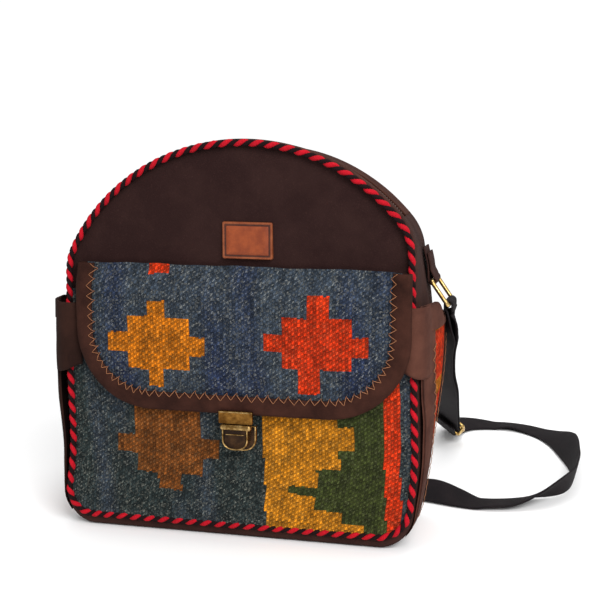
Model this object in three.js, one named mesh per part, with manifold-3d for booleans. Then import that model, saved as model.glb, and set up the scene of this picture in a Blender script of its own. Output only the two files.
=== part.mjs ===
// Kilim shoulder bag: an arched suede body with a woven front pocket under a bound
// flap, a brass tuck lock, two side pockets, a twisted cord round the front seam,
// a zip along the arch and an adjustable webbing strap on two rings.
// Millimetres, +Z up, the front faces -Y, the bag stands on its base at Z = 0.
import * as THREE from 'three';
import { mergeVertices } from 'three/addons/utils/BufferGeometryUtils.js';
import Module from 'manifold-3d';

const wasm = await Module();
wasm.setup();

// Body
const bodyDepth = 85;            // front face to back face of the side band
const halfWidthBase = 134;       // outer half width just above the base
const halfWidthShoulder = 128.5; // outer half width where the arch begins
const baseRadius = 24;           // rounded lower corners
const archCentreX = 6;           // the arch leans a little to the right
const archCentreZ = 143.6;
const archEase = 12.5;           // how far the arc is wider than the shoulders
const archRadius = halfWidthShoulder + archCentreX + archEase; // main arc, which the zip follows
const shoulderRadius = 43;       // arc between the arch and the side
const slump = 6.5;               // how far the soft base has settled to the left
const slumpTop = 75;             // height where the body stands upright again
const bandWall = 3;              // suede and lining of the side band
const panelWall = 3;             // felt panel and lining
const fit = 0.3;                 // clearance between pieces that touch

// Twisted seam cord
const cordRadius = 2.9;
const cordBase = 9.5;            // height of the cord along the base
const cordTwist = 23;            // length of one full turn of the two strands

// Front pocket
const kilimWall = 2.4;
const pocketTop = 181;
const pocketBulge = 8;
const ribPitch = 6.4;            // width of one woven rib
const ribHeight = 0.45;

// Flap
const flapCentreX = 2;
const flapHalfWidth = 120.5;
const flapTop = 201;
const flapBottom = 96.5;
const flapCorner = 58;
const bindingWidth = 14;
const bindingWall = 1.2;         // suede of the binding, in front and behind
const clothEase = 0.9;           // room for the cloth's edge inside the binding

// Side pockets
const sidePocketTop = 162;
const sidePocketBase = 12;
const sidePocketBulge = 10.5;
const sidePocketWall = 2.2;
const sideHem = 22;              // suede band along the mouth
const sideStrip = 24;            // suede strips down the front and the back edge

// Label patch
const labelWidth = 36.4;
const labelHeight = 26;
const labelWall = 1.8;
const labelX = 9.5;
const labelZ = 219.5;

// Tuck lock
const lockX = 3.2;
const tongueWidth = 27;
const tongueHeight = 10;
const lockBaseWidth = 22;
const lockBaseHeight = 17.5;
const lockTopZ = 100.6;
const lockPlate = 1.2;
const buttonTravel = 1.6;

// Zip
const zipStrip = 34;             // width of each top strip
const tapeWall = 1;
const toothPitch = 8;
const toothHeight = 1.8;
const zipSliderLength = 13;
const zipSliderWidth = 9;
const pullLength = 26;

// Rings and webbing
const webbingWidth = 25;
const webbingWall = 1.7;
const ringWire = 3.2;
const ringInside = 27;
const ringLeg = 21;
const ringY = 22;
const ringZ = 187;
const ringSwing = 35;            // degrees out from hanging at rest
const tabWall = 1.6;
const sliderWire = 2.6;          // bars of the strap adjuster
const sliderLength = 20;
const layerGap = 0.9;            // between the two layers of webbing
const sewnTail = 22;             // webbing end sewn back on itself

const frontY = -bodyDepth / 2;
const backY = bodyDepth / 2;
const radians = Math.PI / 180;

const group = new THREE.Group();

function addMesh(name, geometry, colour, roughness, metalness = 0, vertexColors = false) {
  const material = new THREE.MeshStandardMaterial({ color: colour, roughness, metalness, vertexColors });
  const mesh = new THREE.Mesh(geometry, material);
  mesh.name = name;
  group.add(mesh);
  return mesh;
}

const suedeBrown = 0x55382f;
const feltBrown = 0x33211e;
const brass = 0x8f6f3a;
const webbingBlack = 0x17141a;

// Booleans
function solidOf(geometry) {
  const bare = new THREE.BufferGeometry();
  bare.setAttribute('position', geometry.getAttribute('position').clone());
  if (geometry.index) bare.setIndex(geometry.index.clone());
  const merged = mergeVertices(bare, 1e-4);
  return new wasm.Manifold(new wasm.Mesh({
    numProp: 3,
    vertProperties: new Float32Array(merged.getAttribute('position').array),
    triVerts: new Uint32Array(merged.index.array),
  }));
}

function geometryOf(solid) {
  const mesh = solid.getMesh();
  const geometry = new THREE.BufferGeometry();
  geometry.setAttribute('position', new THREE.BufferAttribute(new Float32Array(mesh.vertProperties), 3));
  geometry.setIndex(new THREE.BufferAttribute(new Uint32Array(mesh.triVerts), 1));
  const flat = geometry.toNonIndexed();
  flat.computeVertexNormals();
  return flat;
}

function join(...geometries) {
  return geometryOf(geometries.map(solidOf).reduce((a, b) => a.add(b)));
}

function cut(geometry, ...tools) {
  return geometryOf(tools.map(solidOf).reduce((a, b) => a.subtract(b), solidOf(geometry)));
}

// A shape drawn in X and Z, given depth from y0 to y1
function slab(shape, y0, y1, curveSegments = 12, bevel = 0) {
  const geometry = new THREE.ExtrudeGeometry(shape, {
    depth: y1 - y0 - 2 * bevel,
    curveSegments,
    bevelEnabled: bevel > 0,
    bevelThickness: bevel,
    bevelSize: bevel,
    bevelOffset: -bevel,
    bevelSegments: 1,
  });
  geometry.rotateX(Math.PI / 2);
  geometry.translate(0, y1 - bevel, 0);
  return geometry;
}

function block(x0, x1, y0, y1, z0, z1) {
  const geometry = new THREE.BoxGeometry(x1 - x0, y1 - y0, z1 - z0);
  geometry.translate((x0 + x1) / 2, (y0 + y1) / 2, (z0 + z1) / 2);
  return geometry;
}

function rod(radius, from, to, sides = 12) {
  const along = new THREE.Vector3().subVectors(to, from);
  const geometry = new THREE.CylinderGeometry(radius, radius, along.length(), sides);
  const turn = new THREE.Quaternion()
    .setFromUnitVectors(new THREE.Vector3(0, 1, 0), along.clone().normalize());
  geometry.applyQuaternion(turn);
  const middle = new THREE.Vector3().addVectors(from, to).multiplyScalar(0.5);
  geometry.translate(middle.x, middle.y, middle.z);
  return geometry;
}

function arcPoints(cx, cz, radius, fromAngle, toAngle, steps) {
  const points = [];
  for (let i = 0; i <= steps; i += 1) {
    const angle = fromAngle + (toAngle - fromAngle) * i / steps;
    points.push(new THREE.Vector2(cx + radius * Math.cos(angle), cz + radius * Math.sin(angle)));
  }
  return points;
}

// The body's outline, set in by an inset: the U of sides and base from the left end
// of the zip to its right end, and the arch from there back to the left.
function shoulderCentre(side, inset) {
  const x = side * (halfWidthShoulder - shoulderRadius);
  const reach = archRadius - shoulderRadius;
  const z = archCentreZ + Math.sqrt(reach * reach - (x - archCentreX) ** 2);
  return { x, z, radius: shoulderRadius - inset, angle: Math.atan2(z - archCentreZ, x - archCentreX) };
}

// Points on the upright sides, closer together low down, where the body settles
const uprightShares = [0.05, 0.1, 0.15, 0.2, 0.25, 0.32, 0.6];

const archLeftAngle = shoulderCentre(-1, 0).angle;
const archRightAngle = shoulderCentre(1, 0).angle;

function sidePoints(inset, base = inset) {
  const left = shoulderCentre(-1, inset);
  const right = shoulderCentre(1, inset);
  const cornerX = halfWidthBase - baseRadius;
  const cornerR = baseRadius - inset;
  const cornerZ = base + cornerR;
  const shoulders = {
    left: arcPoints(left.x, left.z, left.radius, left.angle, Math.PI, 6),
    right: arcPoints(right.x, right.z, right.radius, 0, right.angle, 6),
  };
  const corners = {
    left: arcPoints(-cornerX, cornerZ, cornerR, Math.PI, 1.5 * Math.PI, 6),
    right: arcPoints(cornerX, cornerZ, cornerR, 1.5 * Math.PI, 2 * Math.PI, 6),
  };
  const upright = (from, to) => uprightShares.map((share) => from.clone().lerp(to, share));
  return [
    ...shoulders.left,
    ...upright(corners.left[0], shoulders.left.at(-1)).reverse(),
    ...corners.left,
    ...corners.right,
    ...upright(corners.right.at(-1), shoulders.right[0]),
    ...shoulders.right,
  ];
}

function archPoints(inset, steps = 20) {
  return arcPoints(archCentreX, archCentreZ, archRadius - inset, archRightAngle, archLeftAngle, steps);
}

function bodyShape(inset, base = inset) {
  return new THREE.Shape([...sidePoints(inset, base), ...archPoints(inset).slice(1, -1)]);
}

// Half width of the outline at a height, for what is sewn to the sides
function halfWidthAt(z) {
  const low = baseRadius;
  const high = shoulderCentre(1, 0).z;
  const share = THREE.MathUtils.clamp((z - low) / (high - low), 0, 1);
  return THREE.MathUtils.lerp(halfWidthBase, halfWidthShoulder, share);
}

// Side band: sides and base in one strip
const bandShape = new THREE.Shape([...sidePoints(0), ...sidePoints(bandWall).reverse()]);
addMesh('side_band', slab(bandShape, frontY, backY), suedeBrown, 0.95);

// Front and back panels, set into the band and the arch strips
const panelInset = bandWall + fit;
const panelY = frontY + 0.4;
addMesh('front_panel', slab(bodyShape(panelInset), panelY, panelY + panelWall), feltBrown, 0.95);
addMesh('back_panel', slab(bodyShape(panelInset), -panelY - panelWall, -panelY), feltBrown, 0.95);

// Arch strips on both sides of the zip, and the toothed tapes under them
function archBand(inset, wall, y0, y1, steps = 20, trim = 0) {
  const start = archRightAngle + trim;
  const end = archLeftAngle - trim;
  const outer = arcPoints(archCentreX, archCentreZ, archRadius - inset, start, end, steps);
  const inner = arcPoints(archCentreX, archCentreZ, archRadius - inset - wall, start, end, steps);
  return slab(new THREE.Shape([...outer, ...inner.reverse()]), y0, y1);
}

const stripTrim = fit / archRadius;
const stripInner = -frontY - zipStrip;
const archStrip = (y) => archBand(0, bandWall, y, y + zipStrip, 20, stripTrim);
addMesh('arch_strip_front', archStrip(frontY), suedeBrown, 0.95);
addMesh('arch_strip_back', archStrip(backY - zipStrip), suedeBrown, 0.95);

const toothWidth = 3.2;          // how far a tooth reaches over the middle
const chainTrim = 0.03;
const toothCount = Math.floor((archLeftAngle - archRightAngle - 2 * chainTrim) * archRadius / toothPitch);

function zipTape(side) {
  const tapeRadiusInset = bandWall + fit;
  const yNear = 1.9;
  const yFar = stripInner + 6;
  const y0 = side < 0 ? -yFar : yNear;
  const tape = archBand(tapeRadiusInset, tapeWall, y0, y0 + yFar - yNear, 20, stripTrim);
  const teeth = [];
  for (let i = 0; i < toothCount; i += 1) {
    const phase = (i + (side < 0 ? 0.25 : 0.75)) * toothPitch / archRadius;
    const angle = archRightAngle + chainTrim + phase;
    const tooth = new THREE.BoxGeometry(toothHeight + 0.4, toothWidth, toothPitch / 2 - fit);
    tooth.translate(archRadius - tapeRadiusInset + toothHeight / 2 - 0.2, side * (toothWidth / 2 - 0.9), 0);
    tooth.applyMatrix4(new THREE.Matrix4().makeRotationY(-angle));
    tooth.translate(archCentreX, 0, archCentreZ);
    teeth.push(tooth);
  }
  return join(tape, ...teeth);
}

addMesh('zip_tape_front', zipTape(-1), 0x2a1c19, 0.8);
addMesh('zip_tape_back', zipTape(1), 0x2a1c19, 0.8);

// A piece laid on the arch: drawn with X along the zip and Z out from it, at an angle
function ontoArch(geometry, angle, lift) {
  geometry.translate(0, 0, archRadius + lift);
  geometry.applyMatrix4(new THREE.Matrix4().makeRotationY(Math.PI / 2 - angle));
  geometry.translate(archCentreX, 0, archCentreZ);
  return geometry;
}

const chainTop = toothHeight - bandWall - fit;
const zipSliderAngle = archLeftAngle - chainTrim - 8 / archRadius;
const zipPlate = 1.6;
const sliderPlate = new THREE.Shape();
sliderPlate.moveTo(-zipSliderLength / 2, -zipSliderWidth * 0.3);
sliderPlate.lineTo(-zipSliderLength * 0.1, -zipSliderWidth * 0.36);
sliderPlate.lineTo(zipSliderLength * 0.34, -zipSliderWidth / 2);
sliderPlate.quadraticCurveTo(zipSliderLength / 2, -zipSliderWidth / 2, zipSliderLength / 2, 0);
sliderPlate.quadraticCurveTo(
  zipSliderLength / 2, zipSliderWidth / 2, zipSliderLength * 0.34, zipSliderWidth / 2);
sliderPlate.lineTo(-zipSliderLength * 0.1, zipSliderWidth * 0.36);
sliderPlate.lineTo(-zipSliderLength / 2, zipSliderWidth * 0.3);
const zipTopPlate = new THREE.ExtrudeGeometry(
  sliderPlate, { depth: zipPlate, bevelEnabled: false, curveSegments: 5 });
const bridgeHeight = 3.4;
const bridgeWall = 1.1;
const bridgeWidth = 2.4;
const bridgeHalf = 4.2;
const bridge = cut(
  block(-bridgeHalf, bridgeHalf, -bridgeWidth / 2, bridgeWidth / 2, zipPlate - 0.2, zipPlate + bridgeHeight),
  block(
    -bridgeHalf + bridgeWall, bridgeHalf - bridgeWall,
    -bridgeWidth, bridgeWidth,
    zipPlate, zipPlate + bridgeHeight - bridgeWall,
  ),
);
addMesh('zip_slider', ontoArch(join(zipTopPlate, bridge), zipSliderAngle, chainTop + fit), brass, 0.4, 0.9);

// Zip pull: a flat tab whose eye hangs in the slider's bridge
const pullWall = 1;
const pullWidth = 6;
const crossbar = 0.7;            // half of the bar that turns in the bridge
const eyeLength = 5.8;
const barRoom = 1.1;             // from the bar's axis to the bridge
const pullPivot = new THREE.Vector3(
  -bridgeHalf + bridgeWall + barRoom, 0, zipPlate + bridgeHeight - bridgeWall - barRoom);
function zipPull() {
  const outline = new THREE.Shape();
  outline.moveTo(-pullWidth / 2, crossbar);
  outline.lineTo(-pullWidth / 2, -pullLength + 3);
  outline.absarc(0, -pullLength + 3, pullWidth / 2, Math.PI, 2 * Math.PI, false);
  outline.lineTo(pullWidth / 2, crossbar);
  const eye = new THREE.Path();
  eye.moveTo(-bridgeWidth / 2 - fit, -crossbar);
  eye.lineTo(bridgeWidth / 2 + fit, -crossbar);
  eye.lineTo(bridgeWidth / 2 + fit, -crossbar - eyeLength);
  eye.lineTo(-bridgeWidth / 2 - fit, -crossbar - eyeLength);
  outline.holes.push(eye);
  const plate = new THREE.ExtrudeGeometry(
    outline, { depth: pullWall, bevelEnabled: false, curveSegments: 6 });
  plate.translate(0, 0, -pullWall / 2);
  return plate;
}
const pull = zipPull();
pull.rotateZ(-Math.PI / 2);
pull.translate(pullPivot.x, 0, pullPivot.z);
addMesh('zip_pull', ontoArch(pull, zipSliderAngle, chainTop + fit), brass, 0.35, 0.9);

// Twisted cord along the front seam: two strands round one path
class SeamPath extends THREE.Curve {
  constructor() {
    super();
    const seamInset = cordRadius;
    const side = sidePoints(seamInset, cordBase);
    const points = [...side, ...archPoints(seamInset).slice(1, -1)];
    const seamY = frontY - cordRadius - fit;
    this.path = new THREE.CatmullRomCurve3(
      points.map((p) => new THREE.Vector3(p.x, seamY, p.y)), true, 'catmullrom', 0.3);
    this.path.arcLengthDivisions = 900;
  }

  getPoint(t, target = new THREE.Vector3()) {
    return this.path.getPointAt(t % 1, target);
  }
}

const seamPath = new SeamPath();
const seamLength = seamPath.path.getLength();

// Each bead of the twist is a short swelling of the cord, slanted with the strands
function twistedCord() {
  const turns = Math.round(seamLength / (cordTwist / 2));
  const steps = turns * 3;
  const sides = 5;
  const rings = [];
  for (let i = 0; i < steps; i += 1) {
    const t = i / steps;
    const centre = seamPath.getPoint(t);
    const ahead = seamPath.getPoint(t + 0.001);
    const tangent = ahead.clone().sub(centre).normalize();
    const out = new THREE.Vector3(0, -1, 0);
    const across = new THREE.Vector3().crossVectors(tangent, out).normalize();
    const ring = [];
    for (let k = 0; k < sides; k += 1) {
      const angle = 2 * Math.PI * k / sides;
      const bead = Math.cos(2 * Math.PI * turns * t - angle);
      const radius = cordRadius * (0.87 + 0.13 * bead);
      ring.push(centre.clone()
        .addScaledVector(out, radius * Math.cos(angle))
        .addScaledVector(across, radius * Math.sin(angle)));
    }
    rings.push(ring);
  }
  return loft(rings, true);
}

// A closed mesh through rings of points. Open lofts get flat ends
function loft(rings, closed) {
  const sides = rings[0].length;
  const positions = rings.flat().flatMap((p) => [p.x, p.y, p.z]);
  const index = [];
  const spans = closed ? rings.length : rings.length - 1;
  for (let i = 0; i < spans; i += 1) {
    const j = (i + 1) % rings.length;
    for (let k = 0; k < sides; k += 1) {
      const l = (k + 1) % sides;
      index.push(i * sides + k, i * sides + l, j * sides + k);
      index.push(j * sides + k, i * sides + l, j * sides + l);
    }
  }
  if (!closed) {
    const last = (rings.length - 1) * sides;
    for (let k = 1; k < sides - 1; k += 1) {
      index.push(0, k + 1, k);
      index.push(last, last + k, last + k + 1);
    }
  }
  const geometry = new THREE.BufferGeometry();
  geometry.setAttribute('position', new THREE.Float32BufferAttribute(positions, 3));
  geometry.setIndex(index);
  return outward(geometry);
}

// Turns every face over where a closed mesh came out inside out
function outward(geometry) {
  const p = geometry.getAttribute('position');
  const index = Array.from(geometry.index.array);
  const a = new THREE.Vector3();
  const b = new THREE.Vector3();
  const c = new THREE.Vector3();
  let volume = 0;
  for (let i = 0; i < index.length; i += 3) {
    a.fromBufferAttribute(p, index[i]);
    b.fromBufferAttribute(p, index[i + 1]);
    c.fromBufferAttribute(p, index[i + 2]);
    volume += a.dot(b.cross(c));
  }
  if (volume < 0) {
    for (let i = 0; i < index.length; i += 3) {
      [index[i + 1], index[i + 2]] = [index[i + 2], index[i + 1]];
    }
    geometry.setIndex(index);
  }
  return geometry;
}

addMesh('seam_cord', twistedCord(), 0x7a1a24, 0.8);

// How far the front pocket and the flap stand off the panel, at a place on the front
function pocketOff(x, z) {
  const across = 1 - Math.abs(x / (halfWidthAt(z) - 2 * cordRadius)) ** 4;
  const up = THREE.MathUtils.smoothstep(z, cordBase, pocketTop * 0.75);
  return fit + 0.1 + pocketBulge * Math.max(0, across) * (0.2 + 0.8 * up);
}

function flapOff(x, z) {
  const onPocket = pocketOff(x, Math.min(z, pocketTop)) + kilimWall + ribHeight + 2 * fit;
  const down = 1 - THREE.MathUtils.smoothstep(z, pocketTop + 1, flapTop - 1);
  return THREE.MathUtils.lerp(fit + 0.2, onPocket, down);
}

// A woven cloth between two surfaces: columns of ribs in front, a plain back, and a
// colour for each cell of the weave. Rows run down from topZ to footZ(x).
function wovenCloth({ left, right, topZ, footZ, off, wall, rowHeight, colourAt }) {
  const columns = 2 * Math.round((right - left) / ribPitch);
  const rows = Math.max(4, Math.round((topZ - footZ((left + right) / 2)) / rowHeight));
  const frontFace = (i, j) => {
    const x = THREE.MathUtils.lerp(left, right, i / columns);
    const foot = footZ(x);
    const z = THREE.MathUtils.lerp(foot, topZ, j / rows);
    const rib = i % 2 === 1 ? ribHeight : 0;
    return new THREE.Vector3(x, panelY - off(x, z) - wall - rib, z);
  };
  const backColumns = 12;
  const backRows = rows;
  const backFace = (i, j) => {
    const x = THREE.MathUtils.lerp(left, right, i / backColumns);
    const z = THREE.MathUtils.lerp(footZ(x), topZ, j / backRows);
    return new THREE.Vector3(x, panelY - off(x, z), z);
  };
  const positions = [];
  const colours = [];
  const colour = new THREE.Color();
  const corner = (a, b, c, shade) => {
    positions.push(...a.toArray(), ...b.toArray(), ...c.toArray());
    colour.set(shade);
    for (let n = 0; n < 3; n += 1) colours.push(colour.r, colour.g, colour.b);
  };
  for (let i = 0; i < columns; i += 1) {
    for (let j = 0; j < rows; j += 1) {
      const middle = frontFace(i, j).add(frontFace(i + 1, j + 1)).multiplyScalar(0.5);
      const shade = colourAt(middle.x, middle.z);
      corner(frontFace(i, j), frontFace(i + 1, j), frontFace(i + 1, j + 1), shade);
      corner(frontFace(i, j), frontFace(i + 1, j + 1), frontFace(i, j + 1), shade);
    }
  }
  const plain = colourAt(left, topZ);
  for (let i = 0; i < backColumns; i += 1) {
    for (let j = 0; j < backRows; j += 1) {
      corner(backFace(i, j), backFace(i + 1, j + 1), backFace(i + 1, j), plain);
      corner(backFace(i, j), backFace(i, j + 1), backFace(i + 1, j + 1), plain);
    }
  }
  const frontEdge = {
    foot: (n) => frontFace(n, 0),
    right: (n) => frontFace(columns, n),
    top: (n) => frontFace(columns - n, rows),
    left: (n) => frontFace(0, rows - n),
  };
  const backEdge = {
    foot: (n) => backFace(n, 0),
    right: (n) => backFace(backColumns, n),
    top: (n) => backFace(backColumns - n, backRows),
    left: (n) => backFace(0, backRows - n),
  };
  for (const edge of ['foot', 'right', 'top', 'left']) {
    const front = frontEdge[edge];
    const back = backEdge[edge];
    const upright = edge === 'right' || edge === 'left';
    const frontCount = upright ? rows : columns;
    const backCount = upright ? backRows : backColumns;
    let a = 0;
    let b = 0;
    while (a < frontCount || b < backCount) {
      if (b === backCount || (a < frontCount && (a + 1) / frontCount <= (b + 1) / backCount)) {
        corner(front(a), back(b), front(a + 1), plain);
        a += 1;
      } else {
        corner(front(a), back(b), back(b + 1), plain);
        b += 1;
      }
    }
  }
  const geometry = new THREE.BufferGeometry();
  geometry.setAttribute('position', new THREE.Float32BufferAttribute(positions, 3));
  geometry.setAttribute('color', new THREE.Float32BufferAttribute(colours, 3));
  geometry.computeVertexNormals();
  return geometry;
}

// Colours of the weave
const slate = 0x3f5166;
const gold = 0xd08a1e;
const orange = 0xd8481f;
const tan = 0x8e5b2f;
const green = 0x3e4a2a;

// A stepped diamond: a square body with a nub on each of its four sides
function inDiamond(x, z, cx, cz, body, nub) {
  const dx = Math.abs(x - cx);
  const dz = Math.abs(z - cz);
  const square = dx < body && dz < body;
  const sideNub = dx < body + nub && dz < nub * 0.6;
  const endNub = dz < body + nub && dx < nub * 0.6;
  return square || sideNub || endNub;
}

const diamondBody = 24;
const diamondNub = 15;

function flapColour(x, z) {
  if (inDiamond(x, z, -58, 143.5, diamondBody, diamondNub)) return gold;
  if (inDiamond(x, z, 59, 146, diamondBody + 3, diamondNub)) return orange;
  if (x > -64 && x < -46 && z > 188) return orange;
  return slate;
}

function pocketColour(x, z) {
  if (inDiamond(x, z, -55, 69, diamondBody + 1, diamondNub)) return tan;
  if (x > 117) return slate;
  if (x > 106) return orange;
  if (x > 25) return x < 68 + 12 * Math.cos(z / 9) ? gold : green;
  return slate;
}

const clothInset = 2 * cordRadius + fit;
const pocketLeft = -halfWidthShoulder + clothInset;
const pocketRight = halfWidthShoulder - clothInset;
const pocketCorner = baseRadius - cordRadius;
function pocketFoot(x) {
  const over = Math.max(0, Math.abs(x) - (pocketRight - pocketCorner));
  const base = cordBase + cordRadius + fit;
  return base + pocketCorner - Math.sqrt(Math.max(0, pocketCorner ** 2 - over ** 2)) * 0.98;
}
addMesh('front_pocket', wovenCloth({
  left: pocketLeft,
  right: pocketRight,
  topZ: pocketTop,
  footZ: pocketFoot,
  off: pocketOff,
  wall: kilimWall,
  rowHeight: 12,
  colourAt: pocketColour,
}), 0xffffff, 0.9, 0, true);

// The flap's foot line, with large round corners, set in by an inset
function flapFoot(x, inset) {
  const half = flapHalfWidth - inset;
  const corner = flapCorner - inset;
  const over = Math.max(0, Math.abs(x - flapCentreX) - (half - corner));
  return flapBottom + inset + corner - Math.sqrt(Math.max(0, corner ** 2 - over ** 2));
}

const clothReach = 4;            // how far the cloth lies under the binding
const flapClothInset = bindingWidth - clothReach;
addMesh('flap', wovenCloth({
  left: flapCentreX - flapHalfWidth + flapClothInset,
  right: flapCentreX + flapHalfWidth - flapClothInset,
  topZ: flapTop,
  footZ: (x) => flapFoot(x, flapClothInset),
  off: (x, z) => flapOff(x, z) + bindingWall + clothEase,
  wall: kilimWall,
  rowHeight: 6,
  colourAt: flapColour,
}), 0xffffff, 0.9, 0, true);

// Binding: a U-section strip folded over the flap's sides and foot. Its section runs
// from the back lip round the edge to the front lip.
function flapEdgePoints(inset, steps) {
  const half = flapHalfWidth - inset;
  const corner = flapCorner - inset;
  const z = flapBottom + inset + corner;
  const x = half - corner;
  const fall = flapTop - pocketTop;
  const heights = [0, 0.17, 0.33, 0.5, 0.67, 0.83, 1, 1.6].map((share) => flapTop - share * fall);
  const side = (s) => heights.map((h) => new THREE.Vector2(flapCentreX + s * half, h));
  const foot = [-0.6, -0.2, 0.2, 0.6]
    .map((s) => new THREE.Vector2(flapCentreX + s * x, flapBottom + inset));
  return [
    ...side(-1),
    ...arcPoints(flapCentreX - x, z, corner, Math.PI, 1.5 * Math.PI, steps),
    ...foot,
    ...arcPoints(flapCentreX + x, z, corner, 1.5 * Math.PI, 2 * Math.PI, steps),
    ...side(1).reverse(),
  ];
}

function flapBinding() {
  const steps = 7;
  const channel = kilimWall + ribHeight + 2 * clothEase;
  const total = channel + 2 * bindingWall;
  const root = bindingWidth - clothReach - 1;
  const corners = [
    [bindingWidth, 0], [root, 0], [root / 2, 0], [0, 0], [0, total], [root / 2, total], [bindingWidth, total],
    [bindingWidth, total - bindingWall], [root, total - bindingWall], [root, bindingWall], [bindingWidth, bindingWall],
  ];
  const lines = corners.map(([inset]) => flapEdgePoints(inset, steps));
  const rings = lines[0].map((_, i) => corners.map(([, off], k) => {
    const p = lines[k][i];
    return new THREE.Vector3(p.x, panelY - flapOff(p.x, p.y) - off, p.y);
  }));
  return sectionLoft(rings);
}

// A loft whose flat ends are triangulated, for sections that are not convex
function sectionLoft(rings) {
  const body = loftWalls(rings);
  const sides = rings[0].length;
  const local = sectionPlane(rings[0]);
  const faces = THREE.ShapeUtils.triangulateShape(local, []);
  const last = (rings.length - 1) * sides;
  const index = Array.from(body.index.array);
  for (const [a, b, c] of faces) {
    index.push(a, b, c);
    index.push(last + a, last + c, last + b);
  }
  body.setIndex(index);
  const windsRight = edgeRunsOnce(index);
  if (!windsRight) {
    const flipped = Array.from(loftWalls(rings).index.array);
    for (const [a, b, c] of faces) {
      flipped.push(a, c, b);
      flipped.push(last + a, last + b, last + c);
    }
    body.setIndex(flipped);
  }
  return outward(body);
}

function loftWalls(rings) {
  const sides = rings[0].length;
  const geometry = new THREE.BufferGeometry();
  const positions = rings.flat().flatMap((p) => [p.x, p.y, p.z]);
  geometry.setAttribute('position', new THREE.Float32BufferAttribute(positions, 3));
  const index = [];
  for (let i = 0; i < rings.length - 1; i += 1) {
    for (let k = 0; k < sides; k += 1) {
      const l = (k + 1) % sides;
      index.push(i * sides + k, i * sides + l, (i + 1) * sides + k);
      index.push((i + 1) * sides + k, i * sides + l, (i + 1) * sides + l);
    }
  }
  geometry.setIndex(index);
  return geometry;
}

// Projects a ring of points onto the plane it spans
function sectionPlane(points) {
  const centre = points.reduce((sum, p) => sum.add(p), new THREE.Vector3()).multiplyScalar(1 / points.length);
  const u = points[1].clone().sub(points[0]).normalize();
  let normal = new THREE.Vector3();
  for (let i = 0; i < points.length; i += 1) {
    const a = points[i].clone().sub(centre);
    const b = points[(i + 1) % points.length].clone().sub(centre);
    normal = normal.add(a.cross(b));
  }
  normal.normalize();
  const v = new THREE.Vector3().crossVectors(normal, u);
  return points.map((p) => new THREE.Vector2(p.clone().sub(centre).dot(u), p.clone().sub(centre).dot(v)));
}

// True where every edge is used once in each direction
function edgeRunsOnce(index) {
  const seen = new Set();
  for (let i = 0; i < index.length; i += 3) {
    for (let k = 0; k < 3; k += 1) {
      const key = `${index[i + k]}_${index[i + (k + 1) % 3]}`;
      if (seen.has(key)) return false;
      seen.add(key);
    }
  }
  return true;
}

addMesh('flap_binding', flapBinding(), suedeBrown, 0.95);

// Side pockets: a bulging shell from the front seam round to the back seam
function sidePocketOff(y, z) {
  const share = THREE.MathUtils.clamp((y - frontY) / bodyDepth, 0, 1) ** 0.7;
  const across = Math.max(0, Math.sin(Math.PI * share)) ** 0.6;
  const up = 0.12 + 0.88 * THREE.MathUtils.smoothstep(z, sidePocketBase, sidePocketTop);
  return fit + 0.1 + sidePocketBulge * across * up;
}

function sidePocketShell(side, y0, y1, z0, z1) {
  const columns = Math.max(2, Math.round((y1 - y0) / 7));
  const rows = Math.max(2, Math.round((z1 - z0) / 22));
  const rings = [];
  for (let i = 0; i <= columns; i += 1) {
    const y = THREE.MathUtils.lerp(y0, y1, i / columns);
    const ring = [];
    for (const layer of [0, 1]) {
      for (let j = 0; j <= rows; j += 1) {
        const z = THREE.MathUtils.lerp(layer ? z1 : z0, layer ? z0 : z1, j / rows);
        const x = halfWidthAt(z) + sidePocketOff(y, z) + layer * sidePocketWall;
        ring.push(new THREE.Vector3(side * x, y, z));
      }
    }
    rings.push(ring);
  }
  return sectionLoft(rings);
}

const pocketEdge = backY - 1;
const windowHalf = backY - sideStrip;
for (const [side, word] of [[-1, 'left'], [1, 'right']]) {
  const full = sidePocketShell(side, -pocketEdge, pocketEdge, sidePocketBase, sidePocketTop);
  const far = halfWidthBase + sidePocketBulge + 20;
  const [x0, x1] = [side * halfWidthBase / 2, side * far].sort((a, b) => a - b);
  const windowTool = block(x0, x1, -windowHalf, windowHalf, 0, sidePocketTop - sideHem);
  addMesh(`side_pocket_band_${word}`, cut(full, windowTool), suedeBrown, 0.95);
  addMesh(`side_pocket_kilim_${word}`, sidePocketShell(
    side, -windowHalf + fit, windowHalf - fit, sidePocketBase, sidePocketTop - sideHem - fit), orange, 0.9);
}

// Label patch with a raised border
const labelShape = new THREE.Shape([
  new THREE.Vector2(labelX - labelWidth / 2, labelZ - labelHeight / 2),
  new THREE.Vector2(labelX + labelWidth / 2, labelZ - labelHeight / 2),
  new THREE.Vector2(labelX + labelWidth / 2, labelZ + labelHeight / 2),
  new THREE.Vector2(labelX - labelWidth / 2, labelZ + labelHeight / 2),
]);
const labelY = panelY - fit;
const labelBody = slab(labelShape, labelY - labelWall, labelY, 4, 0.4);
const grooveInset = 3.4;
const grooveWidth = 0.8;
const grooveOuter = block(
  labelX - labelWidth / 2 + grooveInset, labelX + labelWidth / 2 - grooveInset,
  labelY - labelWall - 1, labelY - labelWall + 0.5,
  labelZ - labelHeight / 2 + grooveInset, labelZ + labelHeight / 2 - grooveInset,
);
const grooveIsland = block(
  labelX - labelWidth / 2 + grooveInset + grooveWidth, labelX + labelWidth / 2 - grooveInset - grooveWidth,
  labelY - labelWall - 2, labelY - labelWall + 1,
  labelZ - labelHeight / 2 + grooveInset + grooveWidth, labelZ + labelHeight / 2 - grooveInset - grooveWidth,
);
addMesh('label_patch', cut(labelBody, cut(grooveOuter, grooveIsland)), 0xb5622d, 0.6);

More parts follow.
